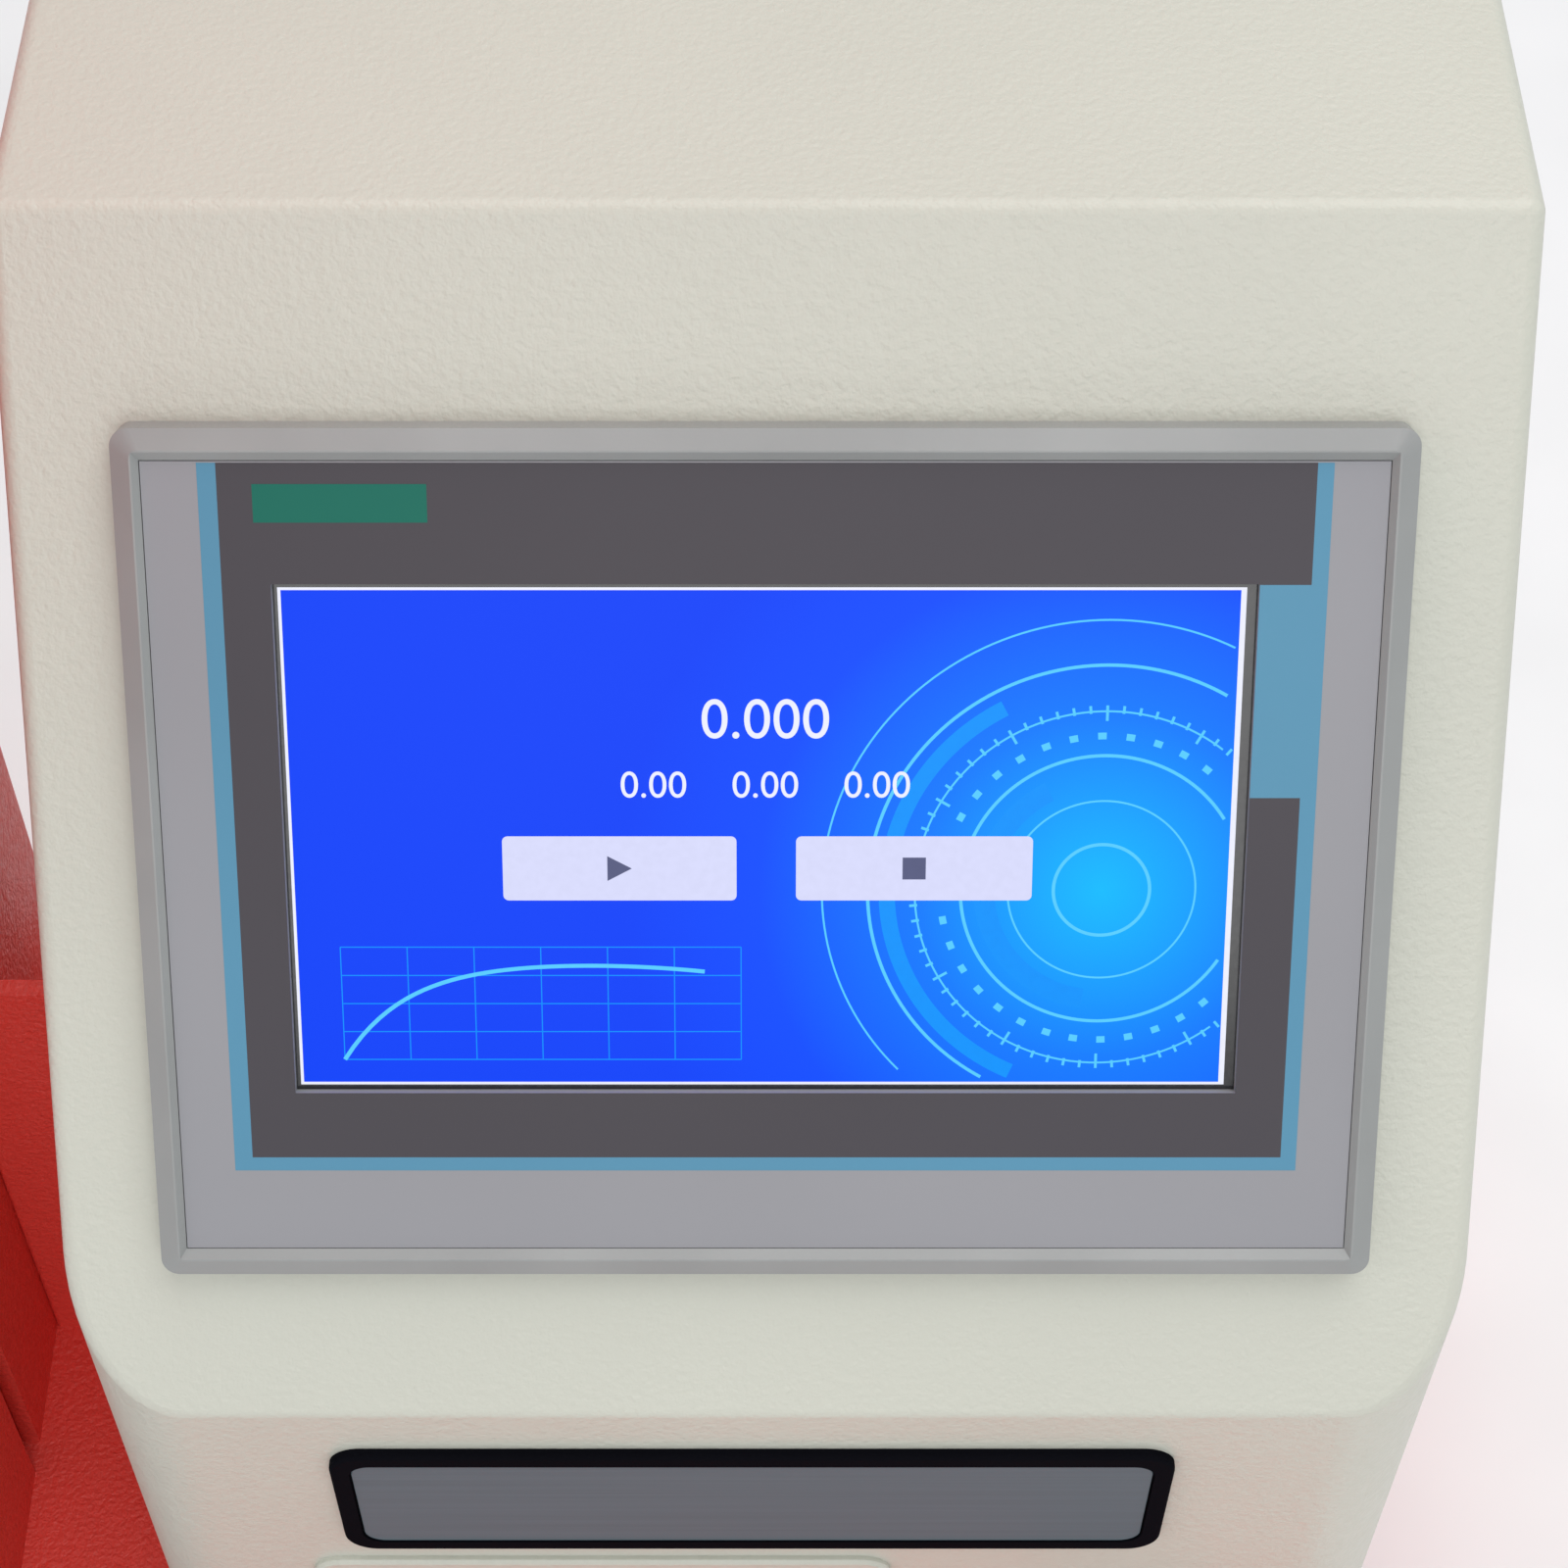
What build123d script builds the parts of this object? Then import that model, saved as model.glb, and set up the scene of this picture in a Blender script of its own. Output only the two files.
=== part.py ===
from build123d import *
from math import cos, pi, radians, sin
import os

# Desktop single-column tensile testing machine. A low red base carries a red
# column on the left and a cream control console on the right. The console has
# a leaning panel with a 7 inch touch panel, a name plate below it and a raised
# pad with three keys. A ball screw in the column drives the crosshead, which
# hangs a load cell and the upper grip over the lower grip.
# Origin: on the floor, under the middle of the base. +X right, +Y back, +Z up.

# Layout, all in millimetres
left_margin = 60.0            # base edge to the column
column_width = 120.0
alcove_gap = 51.0             # between the column and the console
console_width = 242.0
right_margin = 17.0
console_rear_margin = 15.0    # console back to the base edge
console_depth = 220.0
deck_apron = 135.0            # deck in front of the console
column_setback = 170.0        # base front edge to the column front
load_reach = 75.0             # column front to the load axis

# Base
foot_height = 20.0
base_height = 50.0
base_wall = 4.0
deck_thickness = 8.0
base_corner_radius = 12.0
base_edge_radius = 2.0
base_lip = 14.0               # flange turned in along the underside
rib_thickness = 5.0
bottom_plate_thickness = 2.0
plate_gap = 0.5               # sheet to the edges that it lies between
foot_inset = 38.0
foot_boss_depth = 14.0
foot_boss_radius = 13.0
foot_screw_radius = 4.0
foot_head_radius = 7.0
foot_head_height = 4.0
foot_recess = 9.0
foot_top_radius = 19.0
foot_taper = 6.0
end_gap = 1.0                 # free room past the end of a screw or shaft

# Column
column_height = 930.0
column_depth = 160.0
column_wall = 10.0
column_corner_radius = 4.0
front_wall = 8.0
front_lip = 6.0
side_slot_inset = 45.0        # front face to the side slot
slot_mouth = 8.0
slot_mouth_depth = 4.0
slot_room = 15.0
slot_room_depth = 5.0
slot_boss_width = 25.0
slot_boss_depth = 6.0
cover_width = 46.0
cover_edge = 1.0
cover_thickness = 4.0
cap_overhang = 3.0
cap_height = 22.0
cap_edge_radius = 6.0
end_block_width = 86.0
end_block_height = 30.0

# Screw drive
screw_radius = 8.0
journal_radius = 6.0
bearing_outer_radius = 16.0
bearing_height = 11.0
journal_gap = 2.0
screw_setback = 87.0          # column front to the screw axis
running_clearance = 0.06
seat_clearance = 0.03
rail_width = 15.0
rail_height = 15.0
rail_spacing = 52.0
rail_groove = 4.0
rail_end_gap = 6.0
block_width = 30.0
block_height = 24.0
block_length = 44.0
block_standoff = 4.0          # bearing block to the column back wall
block_clearance = 0.3
belt_pitch = 5.0
screw_pulley_teeth = 28
motor_pulley_teeth = 18
pulley_width = 12.0
pulley_flange = 1.5
tooth_depth = 1.2
tooth_share = 0.45            # groove width over the tooth pitch
pulley_drop = 10.0            # deck underside to the pulley
belt_thickness = 2.0
belt_clearance = 0.3
motor_x_offset = 54.0         # console left side to the motor axis
motor_size = 60.0
motor_length = 112.0
motor_shaft_radius = 7.0
motor_corner_radius = 5.0
motor_flange_thickness = 7.0
motor_body_size = 57.0
motor_body_corner = 10.0
encoder_size = 50.0
encoder_length = 23.0
encoder_corner = 6.0
shaft_hole_gap = 2.0
nut_block_width = 40.0
nut_block_height = 44.0
nut_corner_radius = 3.0
nut_collar_height = 8.0
nut_collar_inset = 2.0

# Crosshead and load string
crosshead_rest = 630.0        # deck to the underside of the arm at rest
carriage_height = 110.0
carriage_thickness = 12.0
carriage_width = 84.0
yoke_arm_thickness = 12.0
yoke_arm_height = 62.0
yoke_reach = 12.0             # yoke arms past the column front
yoke_bend_radius = 2.0
arm_back_width = 112.0
arm_back_height = 86.0
arm_nose_radius = 26.0
arm_nose_height = 40.0
arm_drop = 20.0               # back of the arm below its nose
arm_edge_radius = 3.0
arm_root = 12.0               # full-height end at the yoke
nose_boss_height = 3.0
nose_boss_radius = 15.0
cell_width = 51.0
cell_depth = 25.0
cell_height = 76.0
cell_slot = 3.0
cell_web = 9.0
cell_slot_inset = 17.0
cell_bolt_radius = 6.0
cell_corner_radius = 2.0
cell_window = 15.0
washer_radius = 11.4
washer_thickness = 2.0
bolt_head_radius = 10.2
bolt_head_height = 8.0
adapter_radius = 20.0
adapter_height = 35.0
adapter_edge = 4.0

# Grips
grip_width = 78.0
grip_depth = 36.0
grip_height = 82.0
grip_mouth_width = 42.0
grip_mouth_depth = 56.0
grip_shoulder = 18.0
grip_edge = 1.5
shank_radius = 10.0
shank_length = 28.0
pin_radius = 3.0
pin_end_reach = 2.0
pin_head_height = 4.0
jaw_width = 30.0
jaw_length = 46.0
fixed_jaw_thickness = 17.0
moving_jaw_thickness = 12.0
jaw_travel = 9.0              # of the moving jaw, to closed
jaw_closed_gap = 1.0
jaw_teeth = 9
jaw_tooth_depth = 1.2
clamp_screw_radius = 6.0
clamp_screw_reach = 24.0      # free screw between the cheek and its knob
knob_radius = 21.0
knob_thickness = 16.0
knob_collar = 5.0
knob_chamfer = 1.5
knob_lobes = 6
knob_scallop_radius = 7.0

# Lower mounting
table_width = 150.0
table_depth = 130.0
table_thickness = 12.0
table_hole_spacing_x = 120.0
table_hole_spacing_y = 100.0
table_hole_radius = 4.0
table_edge = 1.5
table_corner_radius = 5.0
adapter_flange_radius = 36.0
adapter_flange_height = 9.0

# Tie plate between column and console
tie_plate_setback = 114.0     # console front to the tie plate
tie_plate_height = 147.0
tie_plate_thickness = 4.0
tie_plate_flange = 46.0
tie_plate_bend = 1.5

# Limit rod beside the column
limit_rod_radius = 4.0
limit_rod_gap = 14.0          # column side to the rod axis
limit_rod_bottom = 60.0       # above the deck
limit_rod_top_drop = 40.0     # below the column top
bracket_width = 20.0
bracket_height = 14.0
bracket_margin = 5.0
collar_radius = 11.0
collar_height = 14.0
thumb_screw_radius = 2.5
thumb_head_radius = 6.0
thumb_head_length = 9.0
finger_stop_gap = 4.0
finger_foot = 8.0
finger_inset = 2.0
finger_side_gap = 3.0
finger_rod_gap = 1.0
finger_thickness = 6.0
finger_width = 22.0

# Crosshead travel, from rest
travel_down = 300.0
travel_up = 160.0

# Console
console_height = 360.0
console_wall = 2.5
console_corner_radius = 20.0
console_edge_radius = 3.0
console_flange = 12.0
panel_lean = 35.0             # degrees back from the vertical
panel_length = 210.0
rear_panel_thickness = 2.0
rear_panel_corner_radius = 3.0
rear_opening_radius = 4.0
pad_width = 110.0
pad_height_share = 0.532      # of the front under the leaning panel
pad_x = -31.0
pad_top_share = 0.681         # deck to the pad's upper edge
pad_thickness = 1.5
pad_corner_radius = 6.0
pad_edge = 0.7
key_spacing = 34.0
key_radius = 8.0
key_ring_radius = 11.0
key_ring_height = 2.5
key_travel = 2.0
key_rest_gap = 0.5            # pressed key to its ring's face
key_barrel_length = 18.0
key_clearance = 0.3
key_edge = 1.0
estop_x = 72.0
estop_radius = 20.0
estop_stem_radius = 8.0
estop_ring_radius = 15.0
estop_ring_height = 4.0
estop_height = 26.0
estop_travel = 4.0
estop_crown_radius = 8.0
estop_skirt = 4.0
estop_rest_gap = 1.0
control_share = 0.4043        # deck to the keys' centre line

# Touch panel, set in the leaning panel
hmi_down = 106.9              # upper bend to the touch panel's centre
hmi_width = 205.0
hmi_height = 146.0
hmi_corner_radius = 3.0
bezel_height = 7.0
bezel_slope_width = 3.2
bezel_slope_height = 1.6
overlay_width = 196.0
overlay_height = 136.0
overlay_thickness = 0.8
overlay_depth = 1.2           # bezel crest to the overlay
overlay_gap = 0.15
bezel_crest = 0.3             # flat top of the rim
window_width = 156.5
window_height = 87.4
window_rise = 4.3             # window centre above the touch panel's centre
display_width = 164.0
display_height = 97.0
display_thickness = 3.8
display_recess = 1.6          # overlay face to the glass
cutout_width = 192.0
cutout_height = 138.0
case_gap = 1.0
case_depth = 32.0
case_wall = 2.0
board_thickness = 1.6
case_corner_radius = 2.0
case_post_inset = 15.0
case_post_radius = 3.0
case_vent_count = 10
case_vent_pitch = 12.0
case_vent_length = 50.0
case_vent_width = 4.0

# Name plate under the leaning panel
name_x = -2.4
name_share = 0.8246           # deck to its centre, of the front's height
name_width = 151.5
name_height_share = 0.2101
name_corner_radius = 6.0
name_thickness = 2.0
name_rim = 3.5
name_edge = 0.8
name_plate_corner_radius = 4.0
name_plate_recess = 0.8

# Rear of the console
fan_size = 60.0
fan_depth = 15.0
fan_radius = 28.0
fan_hub_radius = 11.0
fan_blades = 7
fan_margin = 9.0              # console flange to the fan
fan_drop = 75.0               # console top to the fan's axis
fan_tip_gap = 1.0
fan_corner_radius = 4.0
fan_spoke_width = 4.0
fan_spoke_thickness = 2.0
fan_rotor_gap = 0.5
fan_hub_length = 11.0
fan_blade_setback = 1.5
fan_blade_width = 8.0
fan_blade_angle = 80.0
fan_blade_thickness = 2.5
fan_blade_root = 2.0
inlet_width = 48.0
inlet_height = 28.0
inlet_depth = 22.0
inlet_flange = 5.0
inlet_flange_thickness = 2.0
inlet_x = 62.0
inlet_z = 60.0
inlet_rim = 3.0
inlet_corner_radius = 3.0
plug_corner_radius = 2.0
plug_pin_width = 2.0
plug_pin_height = 4.0
plug_pin_spacing = 7.0
plug_pin_offset = 2.0
plug_pin_setback = 3.0
plug_width = 24.5
plug_height = 17.0
plug_depth = 18.0
rocker_width = 12.0
rocker_height = 18.0
rocker_gap = 0.6
rocker_pocket_depth = 14.0
rocker_low_face = 0.5
rocker_high_face = 3.2
rocker_edge = 0.5
rocker_side_depth = 2.0
rocker_foot_width = 2.5
rocker_foot_depth = 6.5
rocker_pivot_radius = 1.2
rocker_pivot_depth = 2.0
rocker_pivot_reach = 1.5
socket_x = 62.0
socket_z = 120.0
socket_spacing = 34.0
socket_radius = 8.0
socket_depth = 11.0           # behind the panel's face
socket_reach = 6.0            # in front of it
socket_floor = 6.0
socket_wall = 1.5
socket_flange = 3.0
socket_flange_thickness = 3.0
vent_count = 8
vent_pitch = 12.0
vent_length = 70.0
vent_width = 4.0
vent_x = -55.0
vent_z = 110.0

# Control board behind the rear panel, and the servo drive on the deck
standoff_radius = 3.0
standoff_length = 12.0
board_side_gap = 30.0         # board to the fan
board_height = 80.0
board_hole_inset = 5.0
board_part_height = 8.0
chip_size = 24.0
relay_width = 14.0
relay_length = 30.0
header_length_share = 0.727
header_width = 10.0
header_drop = 28.0
drive_width = 46.0
drive_depth = 130.0
drive_headroom = 38.0         # leaning panel's lower bend to the drive's top
drive_x = 30.0
drive_y = 105.0               # console front to the drive's middle
fin_count = 12
fin_pitch = 6.0
fin_gap = 3.0
fin_depth = 10.0
fin_margin = 5.0

# Positions worked out from the layout
base_width = left_margin + column_width + alcove_gap + console_width + right_margin
base_depth = console_rear_margin + console_depth + deck_apron
base_front_y = -base_depth / 2
deck_z = foot_height + base_height
column_x = -base_width / 2 + left_margin + column_width / 2
column_front_y = base_front_y + column_setback
column_back_y = column_front_y + column_depth
column_right_x = column_x + column_width / 2
column_left_x = column_x - column_width / 2
column_top_z = deck_z + column_height
load_y = column_front_y - load_reach
screw_y = column_front_y + screw_setback
cavity_width = column_width - 2 * column_wall
cavity_back_y = column_back_y - column_wall
slot_offset = (cavity_width - 2 * front_lip + cover_width) / 4   # middle of each front slot
console_x = column_right_x + alcove_gap + console_width / 2
console_left_x = console_x - console_width / 2
console_front_y = base_front_y + deck_apron
console_rear_y = console_front_y + console_depth
console_top_z = deck_z + console_height
panel_run = panel_length * sin(radians(panel_lean))
panel_drop = panel_length * cos(radians(panel_lean))
front_height = console_height - panel_drop
pad_height = pad_height_share * front_height
pad_top_drop = console_height - pad_top_share * front_height
control_drop = console_height - control_share * front_height
name_drop = console_height - name_share * front_height
name_height = name_height_share * front_height
key_height = key_ring_height + key_travel + key_rest_gap
jaw_opening = jaw_travel + jaw_closed_gap
fan_x = console_flange + fan_margin + fan_size / 2 - console_width / 2
fan_z = console_height - fan_drop
board_width = console_width - 2 * (console_flange + fan_margin) - fan_size - board_side_gap
board_x = console_width / 2 - console_flange - fan_margin - board_width / 2
board_z = fan_z - board_height / 2
drive_height = front_height - drive_headroom
upper_bend_y = console_front_y + panel_run
shell_rear_y = console_rear_y - rear_panel_thickness
base_inside_z = deck_z - deck_thickness
screw_pulley_radius = screw_pulley_teeth * belt_pitch / (2 * pi)
motor_pulley_radius = motor_pulley_teeth * belt_pitch / (2 * pi)
pulley_z = base_inside_z - pulley_drop - pulley_width
motor_x = console_left_x + motor_x_offset
table_top_z = deck_z + table_thickness
arm_z = deck_z + crosshead_rest
carriage_z = arm_z + arm_nose_height / 2
block_front_y = cavity_back_y - block_standoff - block_height
carriage_front_y = block_front_y - carriage_thickness
arm_back_y = column_front_y - yoke_reach
cell_top_z = arm_z - nose_boss_height
cell_bottom_z = cell_top_z - cell_height
lower_adapter_height = adapter_flange_height + shank_length
limit_rod_x = column_left_x - limit_rod_gap
limit_rod_y = column_front_y + side_slot_inset

# Planes that the console's fittings are drawn on, each facing outwards
lean_normal = (0, -cos(radians(panel_lean)), sin(radians(panel_lean)))
panel_plane = Plane(origin=(console_x, upper_bend_y, console_top_z), x_dir=(1, 0, 0), z_dir=lean_normal)
hmi_plane = Plane(panel_plane.from_local_coords((0, -hmi_down, 0)), x_dir=(1, 0, 0), z_dir=lean_normal)
front_plane = Plane(origin=(console_x, console_front_y, console_top_z), x_dir=(1, 0, 0), z_dir=(0, -1, 0))
rear_plane = Plane(origin=(console_x, console_rear_y, deck_z), x_dir=(-1, 0, 0), z_dir=(0, 1, 0))

os.makedirs("parts", exist_ok=True)
pieces = []


def keep(builder, label):
    """Names a finished piece and puts it on the list that is written at the end."""
    builder.part.label = label
    pieces.append(builder.part)


def keep_group(label, *builders):
    """The same for a few pieces that share one node as separate solids."""
    group = Compound(children=[builder.part for builder in builders])
    group.label = label
    pieces.append(group)


# Base: a welded tray, open underneath, with two long ribs and four foot bosses
foot_places = GridLocations(base_width - 2 * foot_inset, base_depth - 2 * foot_inset, 2, 2)
with BuildPart() as base_frame:
    with BuildSketch(Plane.XY.offset(foot_height)):
        RectangleRounded(base_width, base_depth, base_corner_radius)
    extrude(amount=base_height)
    fillet(base_frame.faces().sort_by(Axis.Z)[-1].edges(), base_edge_radius)
    with BuildSketch(Plane.XY.offset(foot_height + bottom_plate_thickness)):
        RectangleRounded(
            base_width - 2 * base_wall, base_depth - 2 * base_wall, base_corner_radius - base_wall
        )
    extrude(amount=base_height - deck_thickness - bottom_plate_thickness, mode=Mode.SUBTRACT)
    with BuildSketch(Plane.XY.offset(foot_height)):
        RectangleRounded(base_width - 2 * base_lip, base_depth - 2 * base_lip, base_corner_radius)
    extrude(amount=bottom_plate_thickness, mode=Mode.SUBTRACT)
    rib_height = base_height - deck_thickness - bottom_plate_thickness
    with BuildSketch(Plane.XY.offset(foot_height + bottom_plate_thickness)):
        for rib_y in (load_y, column_back_y):
            with Locations((0, rib_y)):
                Rectangle(base_width - base_wall, rib_thickness)
    extrude(amount=rib_height)
    with BuildSketch(Plane.XY.offset(foot_height + bottom_plate_thickness)):
        with foot_places:
            Circle(foot_boss_radius)
    extrude(amount=rib_height)
    with BuildSketch(Plane.XY.offset(foot_height + bottom_plate_thickness)):
        with foot_places:
            Circle(foot_screw_radius + seat_clearance)
    extrude(amount=foot_boss_depth, mode=Mode.SUBTRACT)
    with BuildSketch(Plane.XY.offset(base_inside_z)):
        with Locations((column_x, screw_y), (motor_x, screw_y)):
            Circle(motor_shaft_radius + shaft_hole_gap)
    extrude(amount=deck_thickness, mode=Mode.SUBTRACT)
keep(base_frame, "base_frame")

with BuildPart() as base_bottom_plate:
    with BuildSketch(Plane.XY.offset(foot_height)):
        RectangleRounded(
            base_width - 2 * base_lip - 2 * plate_gap,
            base_depth - 2 * base_lip - 2 * plate_gap,
            base_corner_radius,
        )
        with foot_places:
            Circle(foot_boss_radius, mode=Mode.SUBTRACT)
    extrude(amount=bottom_plate_thickness)
keep(base_bottom_plate, "base_bottom_plate")

# Fixed rubber feet, each held by a screw from below
with BuildPart() as rubber_feet:
    with BuildSketch(Plane.XY.offset(foot_height)):
        with foot_places:
            Circle(foot_top_radius)
    extrude(amount=-foot_height, taper=foot_taper)
    with BuildSketch():
        with foot_places:
            Circle(foot_head_radius + plate_gap)
    extrude(amount=foot_recess, mode=Mode.SUBTRACT)
    with BuildSketch():
        with foot_places:
            Circle(foot_screw_radius + seat_clearance)
    extrude(amount=foot_height, mode=Mode.SUBTRACT)
keep(rubber_feet, "rubber_feet")

with BuildPart() as foot_screws:
    with BuildSketch(Plane.XY.offset(foot_recess - foot_head_height)):
        with foot_places:
            Circle(foot_head_radius)
    extrude(amount=foot_head_height)
    with BuildSketch(Plane.XY.offset(foot_recess)):
        with foot_places:
            Circle(foot_screw_radius)
    extrude(amount=foot_height - foot_recess + bottom_plate_thickness + foot_boss_depth - end_gap)
keep(foot_screws, "foot_screws")

# Column: an extruded section, open in front, with an accessory slot on each side
side_slot_y = column_front_y + side_slot_inset
with BuildPart() as column_profile:
    with BuildSketch(Plane.XY.offset(deck_z)):
        with Locations((column_x, (column_front_y + column_back_y) / 2)):
            RectangleRounded(column_width, column_depth, column_corner_radius)
        with Locations((column_x, (column_front_y + front_wall + cavity_back_y) / 2)):
            Rectangle(cavity_width, column_depth - front_wall - column_wall, mode=Mode.SUBTRACT)
        with Locations((column_x, column_front_y + front_wall / 2)):
            Rectangle(cavity_width - 2 * front_lip, front_wall, mode=Mode.SUBTRACT)
        for side in (-1, 1):
            inner_x = column_x + side * (cavity_width - slot_boss_depth) / 2
            outer_x = column_x + side * (column_width - slot_mouth_depth) / 2
            room_x = column_x + side * (column_width / 2 - slot_mouth_depth - slot_room_depth / 2)
            with Locations((inner_x, side_slot_y)):
                Rectangle(slot_boss_depth, slot_boss_width)
            with Locations((outer_x, side_slot_y)):
                Rectangle(slot_mouth_depth, slot_mouth, mode=Mode.SUBTRACT)
            with Locations((room_x, side_slot_y)):
                Rectangle(slot_room_depth, slot_room, mode=Mode.SUBTRACT)
    extrude(amount=column_height)
keep(column_profile, "column_profile")

# Foot and head blocks in the column's ends carry the screw bearings
block_depth = cavity_back_y - column_front_y - cover_thickness
block_y = (cavity_back_y + column_front_y + cover_thickness) / 2
head_block_z = column_top_z - end_block_height
lower_bearing_z = deck_z + end_block_height - bearing_height
with BuildPart() as column_end_blocks:
    for block_z, bearing_z in ((deck_z, lower_bearing_z), (head_block_z, head_block_z)):
        with BuildSketch(Plane.XY.offset(block_z)):
            with Locations((column_x, block_y)):
                Rectangle(end_block_width, block_depth)
            with Locations((column_x, screw_y)):
                Circle(journal_radius + journal_gap, mode=Mode.SUBTRACT)
        extrude(amount=end_block_height)
        with BuildSketch(Plane.XY.offset(bearing_z)):
            with Locations((column_x, screw_y)):
                Circle(bearing_outer_radius + seat_clearance)
        extrude(amount=bearing_height, mode=Mode.SUBTRACT)
keep(column_end_blocks, "column_end_blocks")

with BuildPart() as screw_bearings:
    for bearing_z in (lower_bearing_z, head_block_z):
        with BuildSketch(Plane.XY.offset(bearing_z)):
            with Locations((column_x, screw_y)):
                Circle(bearing_outer_radius)
                Circle(journal_radius + running_clearance, mode=Mode.SUBTRACT)
        extrude(amount=bearing_height)
keep(screw_bearings, "screw_bearings")

with BuildPart() as column_front_cover:
    with BuildSketch(Plane.XY.offset(deck_z)):
        with Locations((column_x, column_front_y + cover_thickness / 2)):
            Rectangle(cover_width, cover_thickness)
    extrude(amount=column_height)
    chamfer(column_front_cover.faces().sort_by(Axis.Y)[0].edges().filter_by(Axis.Z), cover_edge)
keep(column_front_cover, "column_front_cover")

with BuildPart() as column_cap:
    with BuildSketch(Plane.XY.offset(column_top_z)):
        with Locations((column_x, (column_front_y + column_back_y) / 2)):
            RectangleRounded(
                column_width + 2 * cap_overhang,
                column_depth + 2 * cap_overhang,
                column_corner_radius + cap_overhang,
            )
    extrude(amount=cap_height)
    fillet(column_cap.faces().sort_by(Axis.Z)[-1].edges(), cap_edge_radius)
keep(column_cap, "column_cap")

# Two guide rails on the column's back wall
rail_bottom_z = deck_z + end_block_height + rail_end_gap
rail_length = column_height - 2 * (end_block_height + rail_end_gap)
with BuildPart() as guide_rails:
    with BuildSketch(Plane.XY.offset(rail_bottom_z)):
        for side in (-1, 1):
            with Locations((column_x + side * rail_spacing / 2, cavity_back_y - rail_height / 2)):
                Rectangle(rail_width, rail_height)
                for edge in (-1, 1):
                    with Locations((edge * rail_width / 2, 0)):
                        Rectangle(rail_groove, rail_groove, rotation=45, mode=Mode.SUBTRACT)
    extrude(amount=rail_length)
keep(guide_rails, "guide_rails")

# Ball screw with its pulley under the deck
screw_top_z = head_block_z + bearing_height
thread_bottom_z = deck_z + end_block_height
with BuildPart() as ball_screw:
    with BuildSketch(Plane.XZ.offset(-screw_y)):
        with BuildLine():
            Polyline(
                (column_x, pulley_z),
                (column_x + journal_radius, pulley_z),
                (column_x + journal_radius, thread_bottom_z),
                (column_x + screw_radius, thread_bottom_z),
                (column_x + screw_radius, head_block_z),
                (column_x + journal_radius, head_block_z),
                (column_x + journal_radius, screw_top_z),
                (column_x, screw_top_z),
                close=True,
            )
        make_face()
    revolve(axis=Axis((column_x, screw_y, 0), (0, 0, 1)))


def toothed_pulley(centre_x, radius, teeth, bore_radius):
    """A flanged pulley with straight tooth grooves, in the base under the deck."""
    with BuildPart() as pulley:
        with BuildSketch(Plane.XY.offset(pulley_z)):
            with Locations((centre_x, screw_y)):
                Circle(radius + belt_thickness)
        extrude(amount=pulley_width)
        with BuildSketch(Plane.XY.offset(pulley_z + pulley_flange)):
            with Locations((centre_x, screw_y)):
                Circle(radius + belt_thickness)
                Circle(radius, mode=Mode.SUBTRACT)
        extrude(amount=pulley_width - 2 * pulley_flange, mode=Mode.SUBTRACT)
        with BuildSketch(Plane.XY.offset(pulley_z + pulley_flange)):
            with Locations((centre_x, screw_y)):
                with PolarLocations(radius, teeth):
                    Rectangle(2 * tooth_depth, belt_pitch * tooth_share)
        extrude(amount=pulley_width - 2 * pulley_flange, mode=Mode.SUBTRACT)
        with BuildSketch(Plane.XY.offset(pulley_z)):
            with Locations((centre_x, screw_y)):
                Circle(bore_radius)
        extrude(amount=pulley_width, mode=Mode.SUBTRACT)
    return pulley


screw_pulley = toothed_pulley(column_x, screw_pulley_radius, screw_pulley_teeth, journal_radius)
keep_group("ball_screw", ball_screw, screw_pulley)

with BuildPart() as timing_belt:
    with BuildSketch(Plane.XY.offset(pulley_z + pulley_flange + belt_clearance)):
        with Locations((column_x, screw_y)):
            Circle(screw_pulley_radius + belt_clearance + belt_thickness)
        with Locations((motor_x, screw_y)):
            Circle(motor_pulley_radius + belt_clearance + belt_thickness)
        make_hull()
        offset(amount=-belt_thickness, mode=Mode.SUBTRACT)
    extrude(amount=pulley_width - 2 * pulley_flange - 2 * belt_clearance)
keep(timing_belt, "timing_belt")

# Servo motor, standing on the deck with its shaft through it
motor_base_z = deck_z
with BuildPart() as servo_motor:
    with BuildSketch(Plane.XY.offset(motor_base_z)):
        with Locations((motor_x, screw_y)):
            RectangleRounded(motor_size, motor_size, motor_corner_radius)
    extrude(amount=motor_flange_thickness)
    with BuildSketch(Plane.XY.offset(motor_base_z + motor_flange_thickness)):
        with Locations((motor_x, screw_y)):
            RectangleRounded(motor_body_size, motor_body_size, motor_body_corner)
    extrude(amount=motor_length - motor_flange_thickness - encoder_length)
    with BuildSketch(Plane.XY.offset(motor_base_z + motor_length - encoder_length)):
        with Locations((motor_x, screw_y)):
            RectangleRounded(encoder_size, encoder_size, encoder_corner)
    extrude(amount=encoder_length)
    with BuildSketch(Plane.XY.offset(motor_base_z)):
        with Locations((motor_x, screw_y)):
            Circle(motor_shaft_radius + running_clearance)
    extrude(amount=motor_length / 2, mode=Mode.SUBTRACT)
keep(servo_motor, "servo_motor")

with BuildPart() as motor_shaft:
    with BuildSketch(Plane.XY.offset(pulley_z)):
        with Locations((motor_x, screw_y)):
            Circle(motor_shaft_radius)
    extrude(amount=motor_base_z + motor_length / 2 - end_gap - pulley_z)

motor_pulley = toothed_pulley(motor_x, motor_pulley_radius, motor_pulley_teeth, motor_shaft_radius)
keep_group("motor_shaft", motor_shaft, motor_pulley)

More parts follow.
